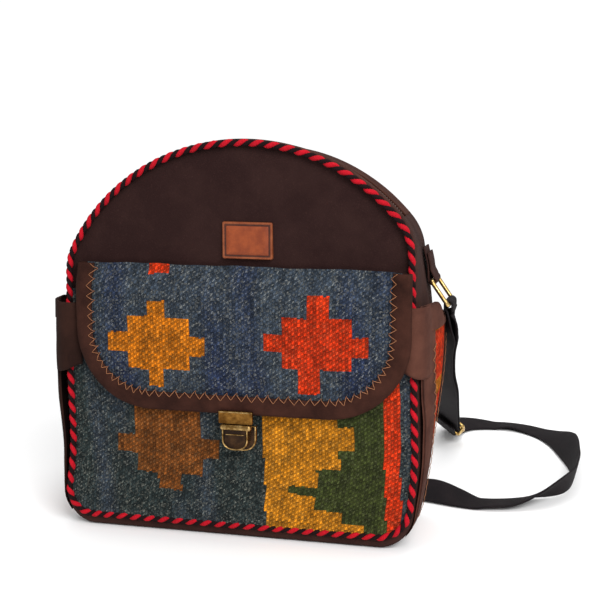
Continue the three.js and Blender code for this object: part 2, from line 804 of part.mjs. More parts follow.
// Tuck lock: the plate and tongue on the flap, the base and housing on the pocket
const channelWall = kilimWall + ribHeight + 2 * clothEase + 2 * bindingWall;
const plateSeat = panelY - flapOff(lockX, lockTopZ) - channelWall - fit - 0.15;
function domedPlate(width, height, topZ, rise) {
  const shape = new THREE.Shape();
  shape.moveTo(lockX - width / 2, topZ - height);
  shape.lineTo(lockX + width / 2, topZ - height);
  shape.lineTo(lockX + width / 2, topZ - rise);
  shape.quadraticCurveTo(lockX, topZ + rise, lockX - width / 2, topZ - rise);
  return shape;
}
const tonguePlate = slab(
  domedPlate(tongueWidth, tongueHeight, lockTopZ, 1), plateSeat - lockPlate, plateSeat, 8, 0.3);
const tongueReach = 5;
const tongueHalf = 7;
const tongue = block(
  lockX - tongueHalf, lockX + tongueHalf,
  plateSeat - lockPlate, plateSeat - 0.2,
  lockTopZ - tongueHeight - tongueReach, lockTopZ - tongueHeight + 0.5,
);
addMesh('lock_tongue_plate', join(tonguePlate, tongue), brass, 0.4, 0.9);

const baseTop = lockTopZ - tongueHeight - 1.2;
const baseSeat = panelY - pocketOff(lockX, baseTop) - kilimWall - ribHeight - fit - 0.1;
const housingFront = plateSeat - lockPlate - 2.6;
function lockDee(width, height, topZ) {
  const shape = new THREE.Shape();
  const r = width / 2;
  shape.moveTo(lockX - r, topZ);
  shape.lineTo(lockX - r, topZ - height + r * 0.8);
  shape.bezierCurveTo(
    lockX - r, topZ - height + r * 0.2, lockX - r * 0.45, topZ - height, lockX, topZ - height);
  shape.bezierCurveTo(
    lockX + r * 0.45, topZ - height, lockX + r, topZ - height + r * 0.2, lockX + r, topZ - height + r * 0.8);
  shape.lineTo(lockX + r, topZ);
  return shape;
}
const basePlate = lockDee(lockBaseWidth + 4, lockBaseHeight + 1.5, baseTop - 2);
addMesh('lock_base_plate', slab(basePlate, baseSeat - lockPlate, baseSeat, 8), brass, 0.4, 0.9);

const housingBack = baseSeat - lockPlate - fit;
const housingShape = lockDee(lockBaseWidth, lockBaseHeight, baseTop);
const buttonWidth = lockBaseWidth - 7;
const buttonHeight = lockBaseHeight - 8;
const buttonTop = baseTop - 4.6;
const buttonShape = lockDee(buttonWidth, buttonHeight, buttonTop);
const buttonWell = lockDee(buttonWidth + 2 * fit, buttonHeight + 2 * fit, buttonTop + fit);
const housing = cut(
  slab(housingShape, housingFront, housingBack, 8, 0.4),
  slab(buttonWell, housingFront - 1, housingFront + buttonTravel + 2, 8),
  block(
    lockX - tongueHalf - fit, lockX + tongueHalf + fit,
    plateSeat - lockPlate - fit, plateSeat - 0.2 + fit,
    baseTop - tongueReach - 1, baseTop + 1,
  ),
);
addMesh('lock_housing', housing, brass, 0.4, 0.9);
addMesh('lock_button', slab(buttonShape, housingFront - 0.6, housingFront + 1.4, 8, 0.3), brass, 0.35, 0.9);

// Ring tabs and rings
function ringBars(side) {
  const y0 = ringY - ringInside / 2 - ringWire / 2;
  const y1 = ringY + ringInside / 2 + ringWire / 2;
  const r = ringWire / 2;
  const v = (y, z) => new THREE.Vector3(0, y, z);
  const bar = join(
    rod(r, v(y0, 0), v(y1, 0)),
    rod(r, v(y0, -ringLeg), v(y1, -ringLeg)),
    rod(r, v(y0, 0), v(y0, -ringLeg)),
    rod(r, v(y1, 0), v(y1, -ringLeg)),
    new THREE.SphereGeometry(r, 10, 6).translate(0, y0, 0),
    new THREE.SphereGeometry(r, 10, 6).translate(0, y1, 0),
    new THREE.SphereGeometry(r, 10, 6).translate(0, y0, -ringLeg),
    new THREE.SphereGeometry(r, 10, 6).translate(0, y1, -ringLeg),
  );
  bar.rotateY(-side * ringSwing * radians);
  bar.translate(side * ringPivotX, 0, ringZ);
  return bar;
}

const tabTail = 19;              // height of the tab above the ring's upper bar
const tabInner = ringWire / 2 + fit;
const ringPivotX = halfWidthAt(ringZ) + fit + tabWall + tabInner;
const ringBarDown = new THREE.Vector2(Math.sin(ringSwing * radians), -Math.cos(ringSwing * radians));
ringBarDown.multiplyScalar(ringLeg);

// A tab is a strip folded round the ring's upper bar and sewn to the band above it
function ringTab(side) {
  const outerR = tabInner + tabWall;
  const shape = new THREE.Shape();
  const tailTop = ringZ + tabTail;
  shape.moveTo(-outerR, tailTop);
  shape.lineTo(-outerR, ringZ);
  shape.absarc(0, ringZ, outerR, Math.PI, 2 * Math.PI, false);
  shape.lineTo(outerR, ringZ + 3);
  shape.lineTo(-outerR + 2 * tabWall + 0.2, tailTop - 4);
  shape.lineTo(-outerR + 2 * tabWall + 0.2, tailTop);
  const hole = new THREE.Path();
  hole.absarc(0, ringZ, tabInner, 0, 2 * Math.PI, true);
  shape.holes.push(hole);
  const tab = slab(shape, ringY - ringInside / 2 + 1, ringY + ringInside / 2 - 1, 8);
  if (side < 0) mirrorX(tab);
  tab.translate(side * ringPivotX, 0, 0);
  return tab;
}

function mirrorX(geometry) {
  geometry.scale(-1, 1, 1);
  const p = geometry.getAttribute('position');
  for (let i = 0; i < p.count; i += 3) {
    for (const axis of ['X', 'Y', 'Z']) {
      const b = p[`get${axis}`](i + 1);
      p[`set${axis}`](i + 1, p[`get${axis}`](i + 2));
      p[`set${axis}`](i + 2, b);
    }
  }
  return geometry;
}

for (const [side, word] of [[-1, 'left'], [1, 'right']]) {
  addMesh(`ring_tab_${word}`, ringTab(side), suedeBrown, 0.95);
  addMesh(`ring_${word}`, ringBars(side), brass, 0.35, 0.9);
}

// Webbing: a flat strip swept along points, each with the direction of its width.
// The offset moves a layer off the route, towards its upper face, and on the floor a
// point's height is that of the strip's lower edge.
function webbing(route, settings = {}) {
  const { offsetAt = () => 0, onFloor = false, step = webbingStep, until = Infinity } = settings;
  const curveOf = (key) => new THREE.CatmullRomCurve3(
    route.map((r) => new THREE.Vector3(...r[key])), false, 'centripetal');
  const centres = curveOf('at');
  const widths = curveOf('wide');
  const length = centres.getLength();
  const end = Math.min(length, until);
  const stations = [];
  for (let along = 0; along < end - step / 2; along += step) stations.push(along);
  stations.push(end);
  const rings = stations.map((along) => {
    const t = centres.getUtoTmapping(along / length);
    const centre = centres.getPoint(t);
    const tangent = centres.getTangent(t);
    const wide = widths.getPoint(t);
    wide.addScaledVector(tangent, -wide.dot(tangent)).normalize();
    const up = new THREE.Vector3().crossVectors(wide, tangent);
    centre.addScaledVector(up, offsetAt(along));
    const lying = onFloor ? 1 - THREE.MathUtils.smoothstep(centre.z, webbingWidth, 2 * webbingWidth) : 0;
    centre.z += lying * (Math.abs(wide.z) * webbingWidth + Math.abs(up.z) * webbingWall) / 2;
    return [[-1, -1], [1, -1], [1, 1], [-1, 1]].map(([w, f]) => centre.clone()
      .addScaledVector(wide, w * webbingWidth / 2)
      .addScaledVector(up, f * webbingWall / 2));
  });
  return loft(rings, false);
}

const webbingStep = 7;
const runStep = 12;
const layerOffset = (webbingWall + layerGap) / 2;
const barX = ringPivotX + ringBarDown.x;
const barZ = ringZ + ringBarDown.y;

// The doubled stretch runs from the right ring down and back to the adjuster, and is
// straight over the adjuster's travel. The single run lies on the floor in one loop
// behind the bag and climbs to the left ring.
const foldTail = 5;
const foldReach = 4;
const runTopX = barX + ringWire / 2 + fit + webbingWall / 2;
const doubledRoute = [
  { at: [barX, ringY, barZ - foldTail - 2 * fit], wide: [0, -1, 0] },
  { at: [barX, ringY, 158.5], wide: [0, -1, 0] },
  { at: [147.2, 30, 149], wide: [0.12, -0.95, -0.3] },
  { at: [144.6, 52, 134], wide: [0.38, -0.76, -0.5] },
  { at: [137.4, 88, 107.5], wide: [0.7, -0.42, -0.53] },
  { at: [132.3, 120, 84], wide: [0.82, -0.23, -0.53] },
  { at: [128, 172, 55], wide: [0.82, -0.23, -0.53] },
  { at: [123.7, 224, 26], wide: [0.82, -0.23, -0.53] },
  { at: [121.2, 254.5, 9], wide: [0.82, -0.23, -0.53] },
];
const runRoute = [
  { at: [121.8, 255.8, 2.2], wide: [0.82, -0.23, -0.53] },
  { at: [121.5, 260.5, 0.2], wide: [0.8, -0.3, -0.48] },
  { at: [121.9, 267, 0.2], wide: [0.74, -0.48, -0.36] },
  { at: [125, 278, 0.3], wide: [0.6, -0.74, -0.26] },
  { at: [134, 290, 0.2], wide: [0.3, -0.93, -0.22] },
  { at: [147, 297, 0.2], wide: [0.05, -0.98, -0.12] },
  { at: [161, 300, 0.2], wide: [0, -1, 0] },
  { at: [178, 299, 0.2], wide: [-0.05, -1, 0.1] },
  { at: [196, 291, 0.2], wide: [-0.4, -0.92, 0.03] },
  { at: [212, 275, 0.2], wide: [-0.6, -0.78, -0.12] },
  { at: [224, 250, 0.2], wide: [-0.75, -0.42, -0.42] },
  { at: [232, 214, 0.2], wide: [-0.62, -0.15, -0.75] },
  { at: [238, 172, 0.2], wide: [-0.3, -0.02, -0.95] },
  { at: [239.5, 138, 0.2], wide: [-0.22, 0.02, -0.97] },
  { at: [234, 108, 0.2], wide: [-0.3, 0.25, -0.92] },
  { at: [222, 91, 0.2], wide: [-0.2, 0.65, -0.7] },
  { at: [207, 80, 0.2], wide: [-0.1, 0.9, -0.38] },
  { at: [190, 72, 0.2], wide: [-0.1, 0.98, -0.12] },
  { at: [174, 68, 0.2], wide: [0, 0.99, -0.08] },
  { at: [158, 68, 0.2], wide: [0, 1, 0.1] },
  { at: [143, 71, 0.2], wide: [0, 0.95, 0.3] },
  { at: [126, 75, 0.2], wide: [0, 0.88, 0.45] },
  { at: [100, 77, 0.2], wide: [0, 0.96, 0.25] },
  { at: [60, 76, 0.2], wide: [0, 1, 0] },
  { at: [15, 76, 0.2], wide: [0, 1, 0] },
  { at: [-35, 78, 0.2], wide: [0, 1, 0] },
  { at: [-78, 76, 3], wide: [0, 1, 0] },
  { at: [-104, 69, 22], wide: [0, 1, 0] },
  { at: [-120, 63, 58], wide: [0, 1, 0.1] },
  { at: [-133, 60, 98], wide: [0, 1, 0.2] },
  { at: [-144, 52, 126], wide: [0, 1, 0.4] },
  { at: [-150, 36, 146], wide: [0, 1, 0.4] },
  { at: [-runTopX, ringY, 158], wide: [0, 1, 0] },
  { at: [-runTopX, ringY, barZ - foldTail - 2 * fit], wide: [0, 1, 0] },
];

// The strap adjuster's seat: its middle on the straight stretch, and the directions
// along the webbing, across it, and up from its face.
const sliderSeat = new THREE.Vector3(...doubledRoute[7].at)
  .lerp(new THREE.Vector3(...doubledRoute[8].at), 0.35);
const sliderAlong = new THREE.Vector3(...doubledRoute[8].at)
  .sub(new THREE.Vector3(...doubledRoute[5].at)).normalize();
const sliderWide = new THREE.Vector3(...doubledRoute[7].wide);
sliderWide.addScaledVector(sliderAlong, -sliderWide.dot(sliderAlong)).normalize();
const sliderUp = new THREE.Vector3().crossVectors(sliderWide, sliderAlong);
const sliderFrame = new THREE.Matrix4()
  .makeBasis(sliderAlong, sliderWide.clone().negate(), sliderUp)
  .setPosition(sliderSeat);

const barLift = layerOffset + webbingWall / 2 + fit + sliderWire / 2;
const legY = webbingWidth / 2 + 0.5 + sliderWire / 2;

function strapSlider() {
  const r = sliderWire / 2;
  const end = sliderLength / 2 - r;
  const at = (x, y, z) => new THREE.Vector3(x, y, z);
  const legShape = new THREE.Shape();
  legShape.moveTo(-end - r, barLift - r);
  legShape.lineTo(-r * 1.4, -barLift - r);
  legShape.lineTo(r * 1.4, -barLift - r);
  legShape.lineTo(end + r, barLift - r);
  legShape.lineTo(end + r, barLift + r);
  legShape.lineTo(-end - r, barLift + r);
  const legs = [-1, 1].map((s) => slab(legShape, s * legY - r, s * legY + r));
  const bars = [
    rod(r, at(-end, -legY, barLift), at(-end, legY, barLift)),
    rod(r, at(end, -legY, barLift), at(end, legY, barLift)),
    rod(r, at(0, -legY, -barLift), at(0, legY, -barLift)),
  ];
  return join(...legs, ...bars).applyMatrix4(sliderFrame);
}

addMesh('strap_slider', strapSlider(), brass, 0.35, 0.9);

// The webbing end, folded round the adjuster's middle bar and sewn back on itself
function foldSection(inner, wall, tailA, tailB, steps = 8) {
  const shape = new THREE.Shape();
  shape.moveTo(-tailA, inner + wall);
  shape.lineTo(0, inner + wall);
  shape.absarc(0, 0, inner + wall, Math.PI / 2, -Math.PI / 2, true);
  shape.lineTo(-tailB, -inner - wall);
  shape.lineTo(-tailB, -inner);
  shape.lineTo(0, -inner);
  shape.absarc(0, 0, inner, -Math.PI / 2, Math.PI / 2, false);
  shape.lineTo(-tailA, inner);
  return new THREE.ExtrudeGeometry(shape, { depth: webbingWidth, bevelEnabled: false, curveSegments: steps });
}

const foldInner = sliderWire / 2 + fit;
const sewnEnd = foldSection(foldInner, webbingWall, foldReach, sewnTail);
sewnEnd.rotateX(Math.PI / 2);
sewnEnd.translate(0, webbingWidth / 2, -barLift);
addMesh('webbing_sewn_end', sewnEnd.applyMatrix4(sliderFrame), webbingBlack, 0.9);

// The folds round the rings' lower bars hang towards the webbing that they hold
const ringFoldInner = ringWire / 2 + fit;
function ringFold(side, lean) {
  const fold = foldSection(ringFoldInner, webbingWall, foldTail, foldTail);
  fold.rotateX(Math.PI / 2);
  fold.translate(0, webbingWidth / 2, 0);
  fold.rotateY(-Math.PI / 2 + lean);
  fold.translate(side * barX, ringY, barZ);
  return fold;
}
addMesh('webbing_fold_right', ringFold(1, 0), webbingBlack, 0.9);
addMesh('webbing_fold_left', ringFold(-1, 0), webbingBlack, 0.9);

// The two layers part at the ring's fold and close up below it
const foldOffset = ringFoldInner + webbingWall / 2;
function layerAt(along) {
  return THREE.MathUtils.lerp(foldOffset, layerOffset, THREE.MathUtils.smoothstep(along, 0, 24));
}
const doubledLength = new THREE.CatmullRomCurve3(
  doubledRoute.map((r) => new THREE.Vector3(...r.at)), false, 'centripetal').getLength();
const pastSeat = sliderSeat.distanceTo(new THREE.Vector3(...doubledRoute[8].at));
addMesh('webbing_running_layer', webbing(doubledRoute, { offsetAt: layerAt }), webbingBlack, 0.9);
addMesh('webbing_return_layer', webbing(doubledRoute, {
  offsetAt: (along) => -layerAt(along),
  until: doubledLength - pastSeat - foldReach - fit,
}), webbingBlack, 0.9);
addMesh('webbing_run', webbing(runRoute, { onFloor: true, step: runStep }), webbingBlack, 0.9);

// The filled bag has settled a little to the left above its flat base. The strap is free
// of it.
const strapPieces = /^(webbing|strap)/;
function settle(geometry) {
  const p = geometry.getAttribute('position');
  for (let i = 0; i < p.count; i += 1) {
    const share = 1 - THREE.MathUtils.smoothstep(p.getZ(i), 0, slumpTop);
    p.setX(i, p.getX(i) - slump * share);
  }
  geometry.computeVertexNormals();
}
for (const mesh of group.children) {
  if (!strapPieces.test(mesh.name)) settle(mesh.geometry);
}

// The bag stands centred on its origin
const bagBox = new THREE.Box3();
for (const mesh of group.children) {
  mesh.geometry.computeBoundingBox();
  if (!strapPieces.test(mesh.name)) bagBox.union(mesh.geometry.boundingBox);
}
const bagCentre = bagBox.getCenter(new THREE.Vector3());
group.position.set(-bagCentre.x, -bagCentre.y, -bagBox.min.z);

export default group;
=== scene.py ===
import math
import bpy
import numpy as np
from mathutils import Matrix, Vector


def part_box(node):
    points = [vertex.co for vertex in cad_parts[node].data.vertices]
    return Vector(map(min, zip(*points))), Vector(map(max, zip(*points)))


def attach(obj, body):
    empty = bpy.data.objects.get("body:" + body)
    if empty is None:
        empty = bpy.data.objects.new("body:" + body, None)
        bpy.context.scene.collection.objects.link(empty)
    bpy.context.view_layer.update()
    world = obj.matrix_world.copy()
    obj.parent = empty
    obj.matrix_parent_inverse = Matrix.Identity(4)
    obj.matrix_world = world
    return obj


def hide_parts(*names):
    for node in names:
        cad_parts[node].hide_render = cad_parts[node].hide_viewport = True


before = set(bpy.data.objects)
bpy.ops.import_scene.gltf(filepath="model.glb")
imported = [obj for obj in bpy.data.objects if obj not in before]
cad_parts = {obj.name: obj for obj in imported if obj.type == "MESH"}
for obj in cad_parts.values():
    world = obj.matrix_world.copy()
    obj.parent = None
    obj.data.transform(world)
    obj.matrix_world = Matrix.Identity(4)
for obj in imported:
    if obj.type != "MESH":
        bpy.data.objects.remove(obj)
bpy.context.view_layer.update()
scene = bpy.context.scene
chance = np.random.default_rng(11)
mm = 0.001

# The CAD's own faces that the cloth is laid on
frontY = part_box("side_band")[0][1] / mm
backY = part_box("side_band")[1][1] / mm
middleY = (frontY + backY) / 2
panelY = frontY + 0.4

body = {
    "halfWidthBase": 134, "halfWidthShoulder": 128.5, "baseRadius": 24, "archRadius": 147,
    "archX": 6, "archZ": 143.6, "shoulderRadius": 43, "archShrink": 8.0, "sideBulge": 3.0,
    "slump": 6.5, "slumpTop": 75, "tuck": 8.0,
}
cord = {"radius": 2.9, "base": 9.5, "twist": 11.0}


# Camera at the photograph's angle
def makeCamera():
    data = bpy.data.cameras.new("camera")
    data.lens = 72
    data.sensor_width = 36
    obj = bpy.data.objects.new("camera", data)
    scene.collection.objects.link(obj)
    obj.location = (0.2397, -0.8384, 0.3206)
    aim = Vector((0.0367, 0.0109, 0.1709)) - obj.location
    obj.rotation_mode = "QUATERNION"
    obj.rotation_quaternion = aim.to_track_quat("-Z", "Y")
    data.clip_start = 0.01
    data.clip_end = 20
    scene.camera = obj


makeCamera()


# Mesh helpers. Points are in millimetres.
def toLinear(colour):
    c = np.asarray(colour, float) / 255
    return np.where(c <= 0.04045, c / 12.92, ((c + 0.055) / 1.055) ** 2.4)


def slumpAt(z):
    return body["slump"] * (1 - smoothstep(z, 0, body["slumpTop"]))


def settled(points):
    # The filled bag has settled a little to the left above its flat base, and its lower
    # left side is drawn in
    x, z = points[:, 0], points[:, 2]
    drawn = 4.5 * smoothstep(-x, 85, 130) * (1 - smoothstep(z, 25, 150))
    return points + (drawn - slumpAt(z))[:, None] * np.array([1.0, 0.0, 0.0])


def meshObject(name, points, faces, material, uv=None, colours=None):
    mesh = bpy.data.meshes.new(name)
    points = np.asarray(points, float).reshape(-1, 3)
    if not name.startswith(("strap", "adjuster")):
        points = settled(points)
    points = points * mm
    parts = faces if isinstance(faces, (list, tuple)) else [faces]
    loops = np.concatenate([np.asarray(f).ravel() for f in parts]).astype(np.int32)
    sizes = np.concatenate([np.full(len(f), np.asarray(f).shape[1]) for f in parts])
    starts = np.concatenate([[0], np.cumsum(sizes)[:-1]]).astype(np.int32)
    mesh.vertices.add(len(points))
    mesh.vertices.foreach_set("co", points.ravel())
    mesh.loops.add(len(loops))
    mesh.loops.foreach_set("vertex_index", loops)
    mesh.polygons.add(len(sizes))
    mesh.polygons.foreach_set("loop_start", starts)
    mesh.update(calc_edges=True)
    mesh.polygons.foreach_set("use_smooth", np.full(len(sizes), True))
    if uv is not None:
        layer = mesh.uv_layers.new(name="surface")
        layer.data.foreach_set("uv", (np.asarray(uv, float)[loops]).ravel())
    if colours is not None:
        layer = mesh.color_attributes.new("weave", "FLOAT_COLOR", "CORNER")
        rgba = np.ones((len(loops), 4))
        rgba[:, :3] = np.repeat(colours, sizes, axis=0)
        layer.data.foreach_set("color", rgba.ravel())
    mesh.materials.append(material)
    obj = bpy.data.objects.new(name, mesh)
    scene.collection.objects.link(obj)
    return obj


def gridFaces(rows, cols, closeRows=False, closeCols=False, flip=False):
    i = np.arange(rows if closeRows else rows - 1)[:, None]
    j = np.arange(cols if closeCols else cols - 1)[None, :]
    a = i * cols + j
    b = i * cols + (j + 1) % cols
    c = ((i + 1) % rows) * cols + (j + 1) % cols
    d = ((i + 1) % rows) * cols + j
    quads = np.stack([a, b, c, d], axis=-1).reshape(-1, 4)
    return quads[:, ::-1] if flip else quads


def smoothstep(x, low, high):
    t = np.clip((np.asarray(x, float) - low) / (high - low), 0, 1)
    return t * t * (3 - 2 * t)


def ripple(a, b, seed=0.0):
    # A slow uneven wave over two coordinates in millimetres, from about -1 to 1
    return (np.sin(a * 0.061 + 1.3 * np.sin(b * 0.043 + seed)) * 0.5
            + np.sin(b * 0.093 + 0.8 * np.sin(a * 0.057 + 2.1 * seed)) * 0.3
            + np.sin(a * 0.17 + b * 0.13 + seed) * 0.2)


def normalise(v):
    return v / np.maximum(np.linalg.norm(v, axis=-1, keepdims=True), 1e-9)


def resample(path, count, closed=False):
    path = np.asarray(path, float)
    if closed:
        path = np.vstack([path, path[:1]])
    along = np.concatenate([[0], np.cumsum(np.linalg.norm(np.diff(path, axis=0), axis=1))])
    t = np.linspace(0, along[-1], count, endpoint=not closed)
    return np.stack([np.interp(t, along, path[:, k]) for k in range(path.shape[1])], axis=1), along[-1]


def tube(name, path, radius, material, sides=8, closed=False, up=(0, -1, 0)):
    # A round tube along a path, with its surface map in millimetres along and around
    path = np.asarray(path, float)
    if closed:
        tangent = normalise(np.roll(path, -1, 0) - np.roll(path, 1, 0))
    else:
        tangent = normalise(np.gradient(path, axis=0))
    side = np.cross(tangent, np.asarray(up, float))
    weak = np.linalg.norm(side, axis=1) < 0.05
    side[weak] = np.cross(tangent[weak], np.array([0.3, 0.2, 1.0]))
    side = normalise(side)
    top = np.cross(side, tangent)
    radius = np.broadcast_to(np.asarray(radius, float), (len(path),))
    angle = np.linspace(0, 2 * np.pi, sides, endpoint=False)
    rings = (path[:, None] + radius[:, None, None] * (
        np.cos(angle)[None, :, None] * top[:, None] + np.sin(angle)[None, :, None] * side[:, None]))
    faces = [gridFaces(len(path), sides, closeRows=closed, closeCols=True)]
    if not closed:
        faces.append(np.arange(sides)[None, ::-1])
        faces.append((len(path) - 1) * sides + np.arange(sides)[None, :])
    step = np.linalg.norm(np.diff(path, axis=0, prepend=path[:1]), axis=1)
    u = np.repeat(np.cumsum(step), sides)
    v = np.tile(angle / (2 * np.pi), len(path))
    return meshObject(name, rings, faces, material, uv=np.stack([u, v], 1))


def merged(name, objects):
    # Joins pieces of one material into one object
    points, loops, sizes, uvs, shift = [], [], [], [], 0
    for obj in objects:
        m = obj.data
        co = np.zeros(len(m.vertices) * 3)
        m.vertices.foreach_get("co", co)
        li = np.zeros(len(m.loops), np.int32)
        m.loops.foreach_get("vertex_index", li)
        ls = np.zeros(len(m.polygons), np.int32)
        m.polygons.foreach_get("loop_total", ls)
        uv = np.zeros(len(m.loops) * 2)
        if m.uv_layers:
            m.uv_layers[0].data.foreach_get("uv", uv)
        points.append(co.reshape(-1, 3))
        loops.append(li + shift)
        sizes.append(ls)
        uvs.append(uv)
        shift += len(m.vertices)
    material = objects[0].data.materials[0]
    mesh = bpy.data.meshes.new(name)
    mesh.vertices.add(shift)
    mesh.vertices.foreach_set("co", np.concatenate(points).ravel())
    loops, sizes = np.concatenate(loops), np.concatenate(sizes)
    mesh.loops.add(len(loops))
    mesh.loops.foreach_set("vertex_index", loops)
    mesh.polygons.add(len(sizes))
    mesh.polygons.foreach_set("loop_start", np.concatenate([[0], np.cumsum(sizes)[:-1]]).astype(np.int32))
    mesh.update(calc_edges=True)
    mesh.polygons.foreach_set("use_smooth", np.full(len(sizes), True))
    mesh.uv_layers.new(name="surface").data.foreach_set("uv", np.concatenate(uvs))
    mesh.materials.append(material)
    for obj in objects:
        bpy.data.objects.remove(obj)
    out = bpy.data.objects.new(name, mesh)
    scene.collection.objects.link(out)
    return out


# Shader groups
def makeGroup(name, inputs, outputs):
    tree = bpy.data.node_groups.new(name, "ShaderNodeTree")
    for label, kind, value in inputs:
        socket = tree.interface.new_socket(label, in_out="INPUT", socket_type=kind)
        if value is not None:
            socket.default_value = value
    for label, kind in outputs:
        tree.interface.new_socket(label, in_out="OUTPUT", socket_type=kind)
    return tree, tree.nodes.new("NodeGroupInput"), tree.nodes.new("NodeGroupOutput")


def mathNode(tree, operation, a, b=None, clamp=False):
    node = tree.nodes.new("ShaderNodeMath")
    node.operation = operation
    node.use_clamp = clamp
    for i, value in enumerate([a, b]):
        if value is None:
            continue
        if isinstance(value, (int, float)):
            node.inputs[i].default_value = value
        else:
            tree.links.new(value, node.inputs[i])
    return node.outputs[0]


def mixColour(tree, share, a, b):
    node = tree.nodes.new("ShaderNodeMix")
    node.data_type = "RGBA"
    for socket, value in [(node.inputs[0], share), (node.inputs[6], a), (node.inputs[7], b)]:
        if isinstance(value, (int, float)):
            socket.default_value = value
        elif isinstance(value, (tuple, list, np.ndarray)):
            socket.default_value = tuple(value)[:3] + (1,)
        else:
            tree.links.new(value, socket)
    return node.outputs[2]


def noiseNode(tree, vector, scale, detail=3.0, rough=0.55, stretch=None):
    if stretch is not None:
        mapping = tree.nodes.new("ShaderNodeMapping")
        mapping.inputs["Scale"].default_value = stretch
        tree.links.new(vector, mapping.inputs["Vector"])
        vector = mapping.outputs[0]
    node = tree.nodes.new("ShaderNodeTexNoise")
    node.inputs["Detail"].default_value = detail
    node.inputs["Roughness"].default_value = rough
    if isinstance(scale, (int, float)):
        node.inputs["Scale"].default_value = scale
    else:
        tree.links.new(scale, node.inputs["Scale"])
    tree.links.new(vector, node.inputs["Vector"])
    return node.outputs["Fac"]


def rangeNode(tree, value, low, high, toLow=0.0, toHigh=1.0):
    node = tree.nodes.new("ShaderNodeMapRange")
    tree.links.new(value, node.inputs["Value"])
    for label, number in [("From Min", low), ("From Max", high), ("To Min", toLow), ("To Max", toHigh)]:
        node.inputs[label].default_value = number
    return node.outputs[0]


colourKind, floatKind, vectorKind = "NodeSocketColor", "NodeSocketFloat", "NodeSocketVector"


def buildNapGroup():
    # Napped cloth or suede: brushed light and dark patches over a fine grain
    tree, ins, outs = makeGroup("nap", [
        ("Vector", vectorKind, None), ("Colour", colourKind, (0.1, 0.06, 0.05, 1)),
        ("Rubbed", colourKind, (0.2, 0.13, 0.1, 1)), ("Patch scale", floatKind, 28.0),
        ("Grain scale", floatKind, 900.0), ("Rub", floatKind, 0.5)],
        [("Colour", colourKind), ("Height", floatKind)])
    patch = noiseNode(tree, ins.outputs["Vector"], ins.outputs["Patch scale"], 4, 0.6)
    patch = rangeNode(tree, patch, 0.38, 0.66)
    grain = noiseNode(tree, ins.outputs["Vector"], ins.outputs["Grain scale"], 2, 0.7)
    fleck = rangeNode(tree, grain, 0.56, 0.76)
    share = mathNode(tree, "MULTIPLY", patch, ins.outputs["Rub"])
    share = mathNode(tree, "ADD", share, mathNode(tree, "MULTIPLY", fleck, 0.35), clamp=True)
    colour = mixColour(tree, share, ins.outputs["Colour"], ins.outputs["Rubbed"])
    tree.links.new(colour, outs.inputs["Colour"])
    height = mathNode(tree, "ADD", mathNode(tree, "MULTIPLY", patch, 0.4), grain)
    tree.links.new(height, outs.inputs["Height"])
    return tree


def buildYarnGroup():
    # Wool yarn: the colour is broken up by darker gaps and light fibres
    tree, ins, outs = makeGroup("yarn", [
        ("Vector", vectorKind, None), ("Colour", colourKind, (0.2, 0.2, 0.2, 1)),
        ("Fibre scale", floatKind, 600.0), ("Depth", floatKind, 0.5)],
        [("Colour", colourKind), ("Height", floatKind)])
    fibre = noiseNode(tree, ins.outputs["Vector"], ins.outputs["Fibre scale"], 3, 0.65,
                      stretch=(1.0, 1.0, 0.35))
    broad = noiseNode(tree, ins.outputs["Vector"], 60.0, 3, 0.6)
    shade = rangeNode(tree, fibre, 0.3, 0.7, 0.55, 1.35)
    shade = mathNode(tree, "MULTIPLY", shade, rangeNode(tree, broad, 0.3, 0.7, 0.88, 1.12))
    scaled = tree.nodes.new("ShaderNodeVectorMath")
    scaled.operation = "SCALE"
    tree.links.new(ins.outputs["Colour"], scaled.inputs[0])
    tree.links.new(shade, scaled.inputs["Scale"])
    colour = mixColour(tree, ins.outputs["Depth"], ins.outputs["Colour"], scaled.outputs[0])
    tree.links.new(colour, outs.inputs["Colour"])
    tree.links.new(fibre, outs.inputs["Height"])
    return tree


def buildPatinaGroup():
    # Antiqued brass: dark, worn bright in patches
    tree, ins, outs = makeGroup("patina", [
        ("Vector", vectorKind, None), ("Metal", colourKind, (0.3, 0.2, 0.08, 1)),
        ("Worn", colourKind, (0.6, 0.42, 0.2, 1)), ("Scale", floatKind, 160.0)],
        [("Colour", colourKind), ("Roughness", floatKind), ("Height", floatKind)])
    broad = rangeNode(tree, noiseNode(tree, ins.outputs["Vector"], ins.outputs["Scale"], 4, 0.6), 0.4, 0.66)
    fine = noiseNode(tree, ins.outputs["Vector"], 2200.0, 2, 0.6)
    tree.links.new(mixColour(tree, broad, ins.outputs["Metal"], ins.outputs["Worn"]), outs.inputs["Colour"])
    tree.links.new(rangeNode(tree, broad, 0, 1, 0.4, 0.22), outs.inputs["Roughness"])
    tree.links.new(fine, outs.inputs["Height"])
    return tree


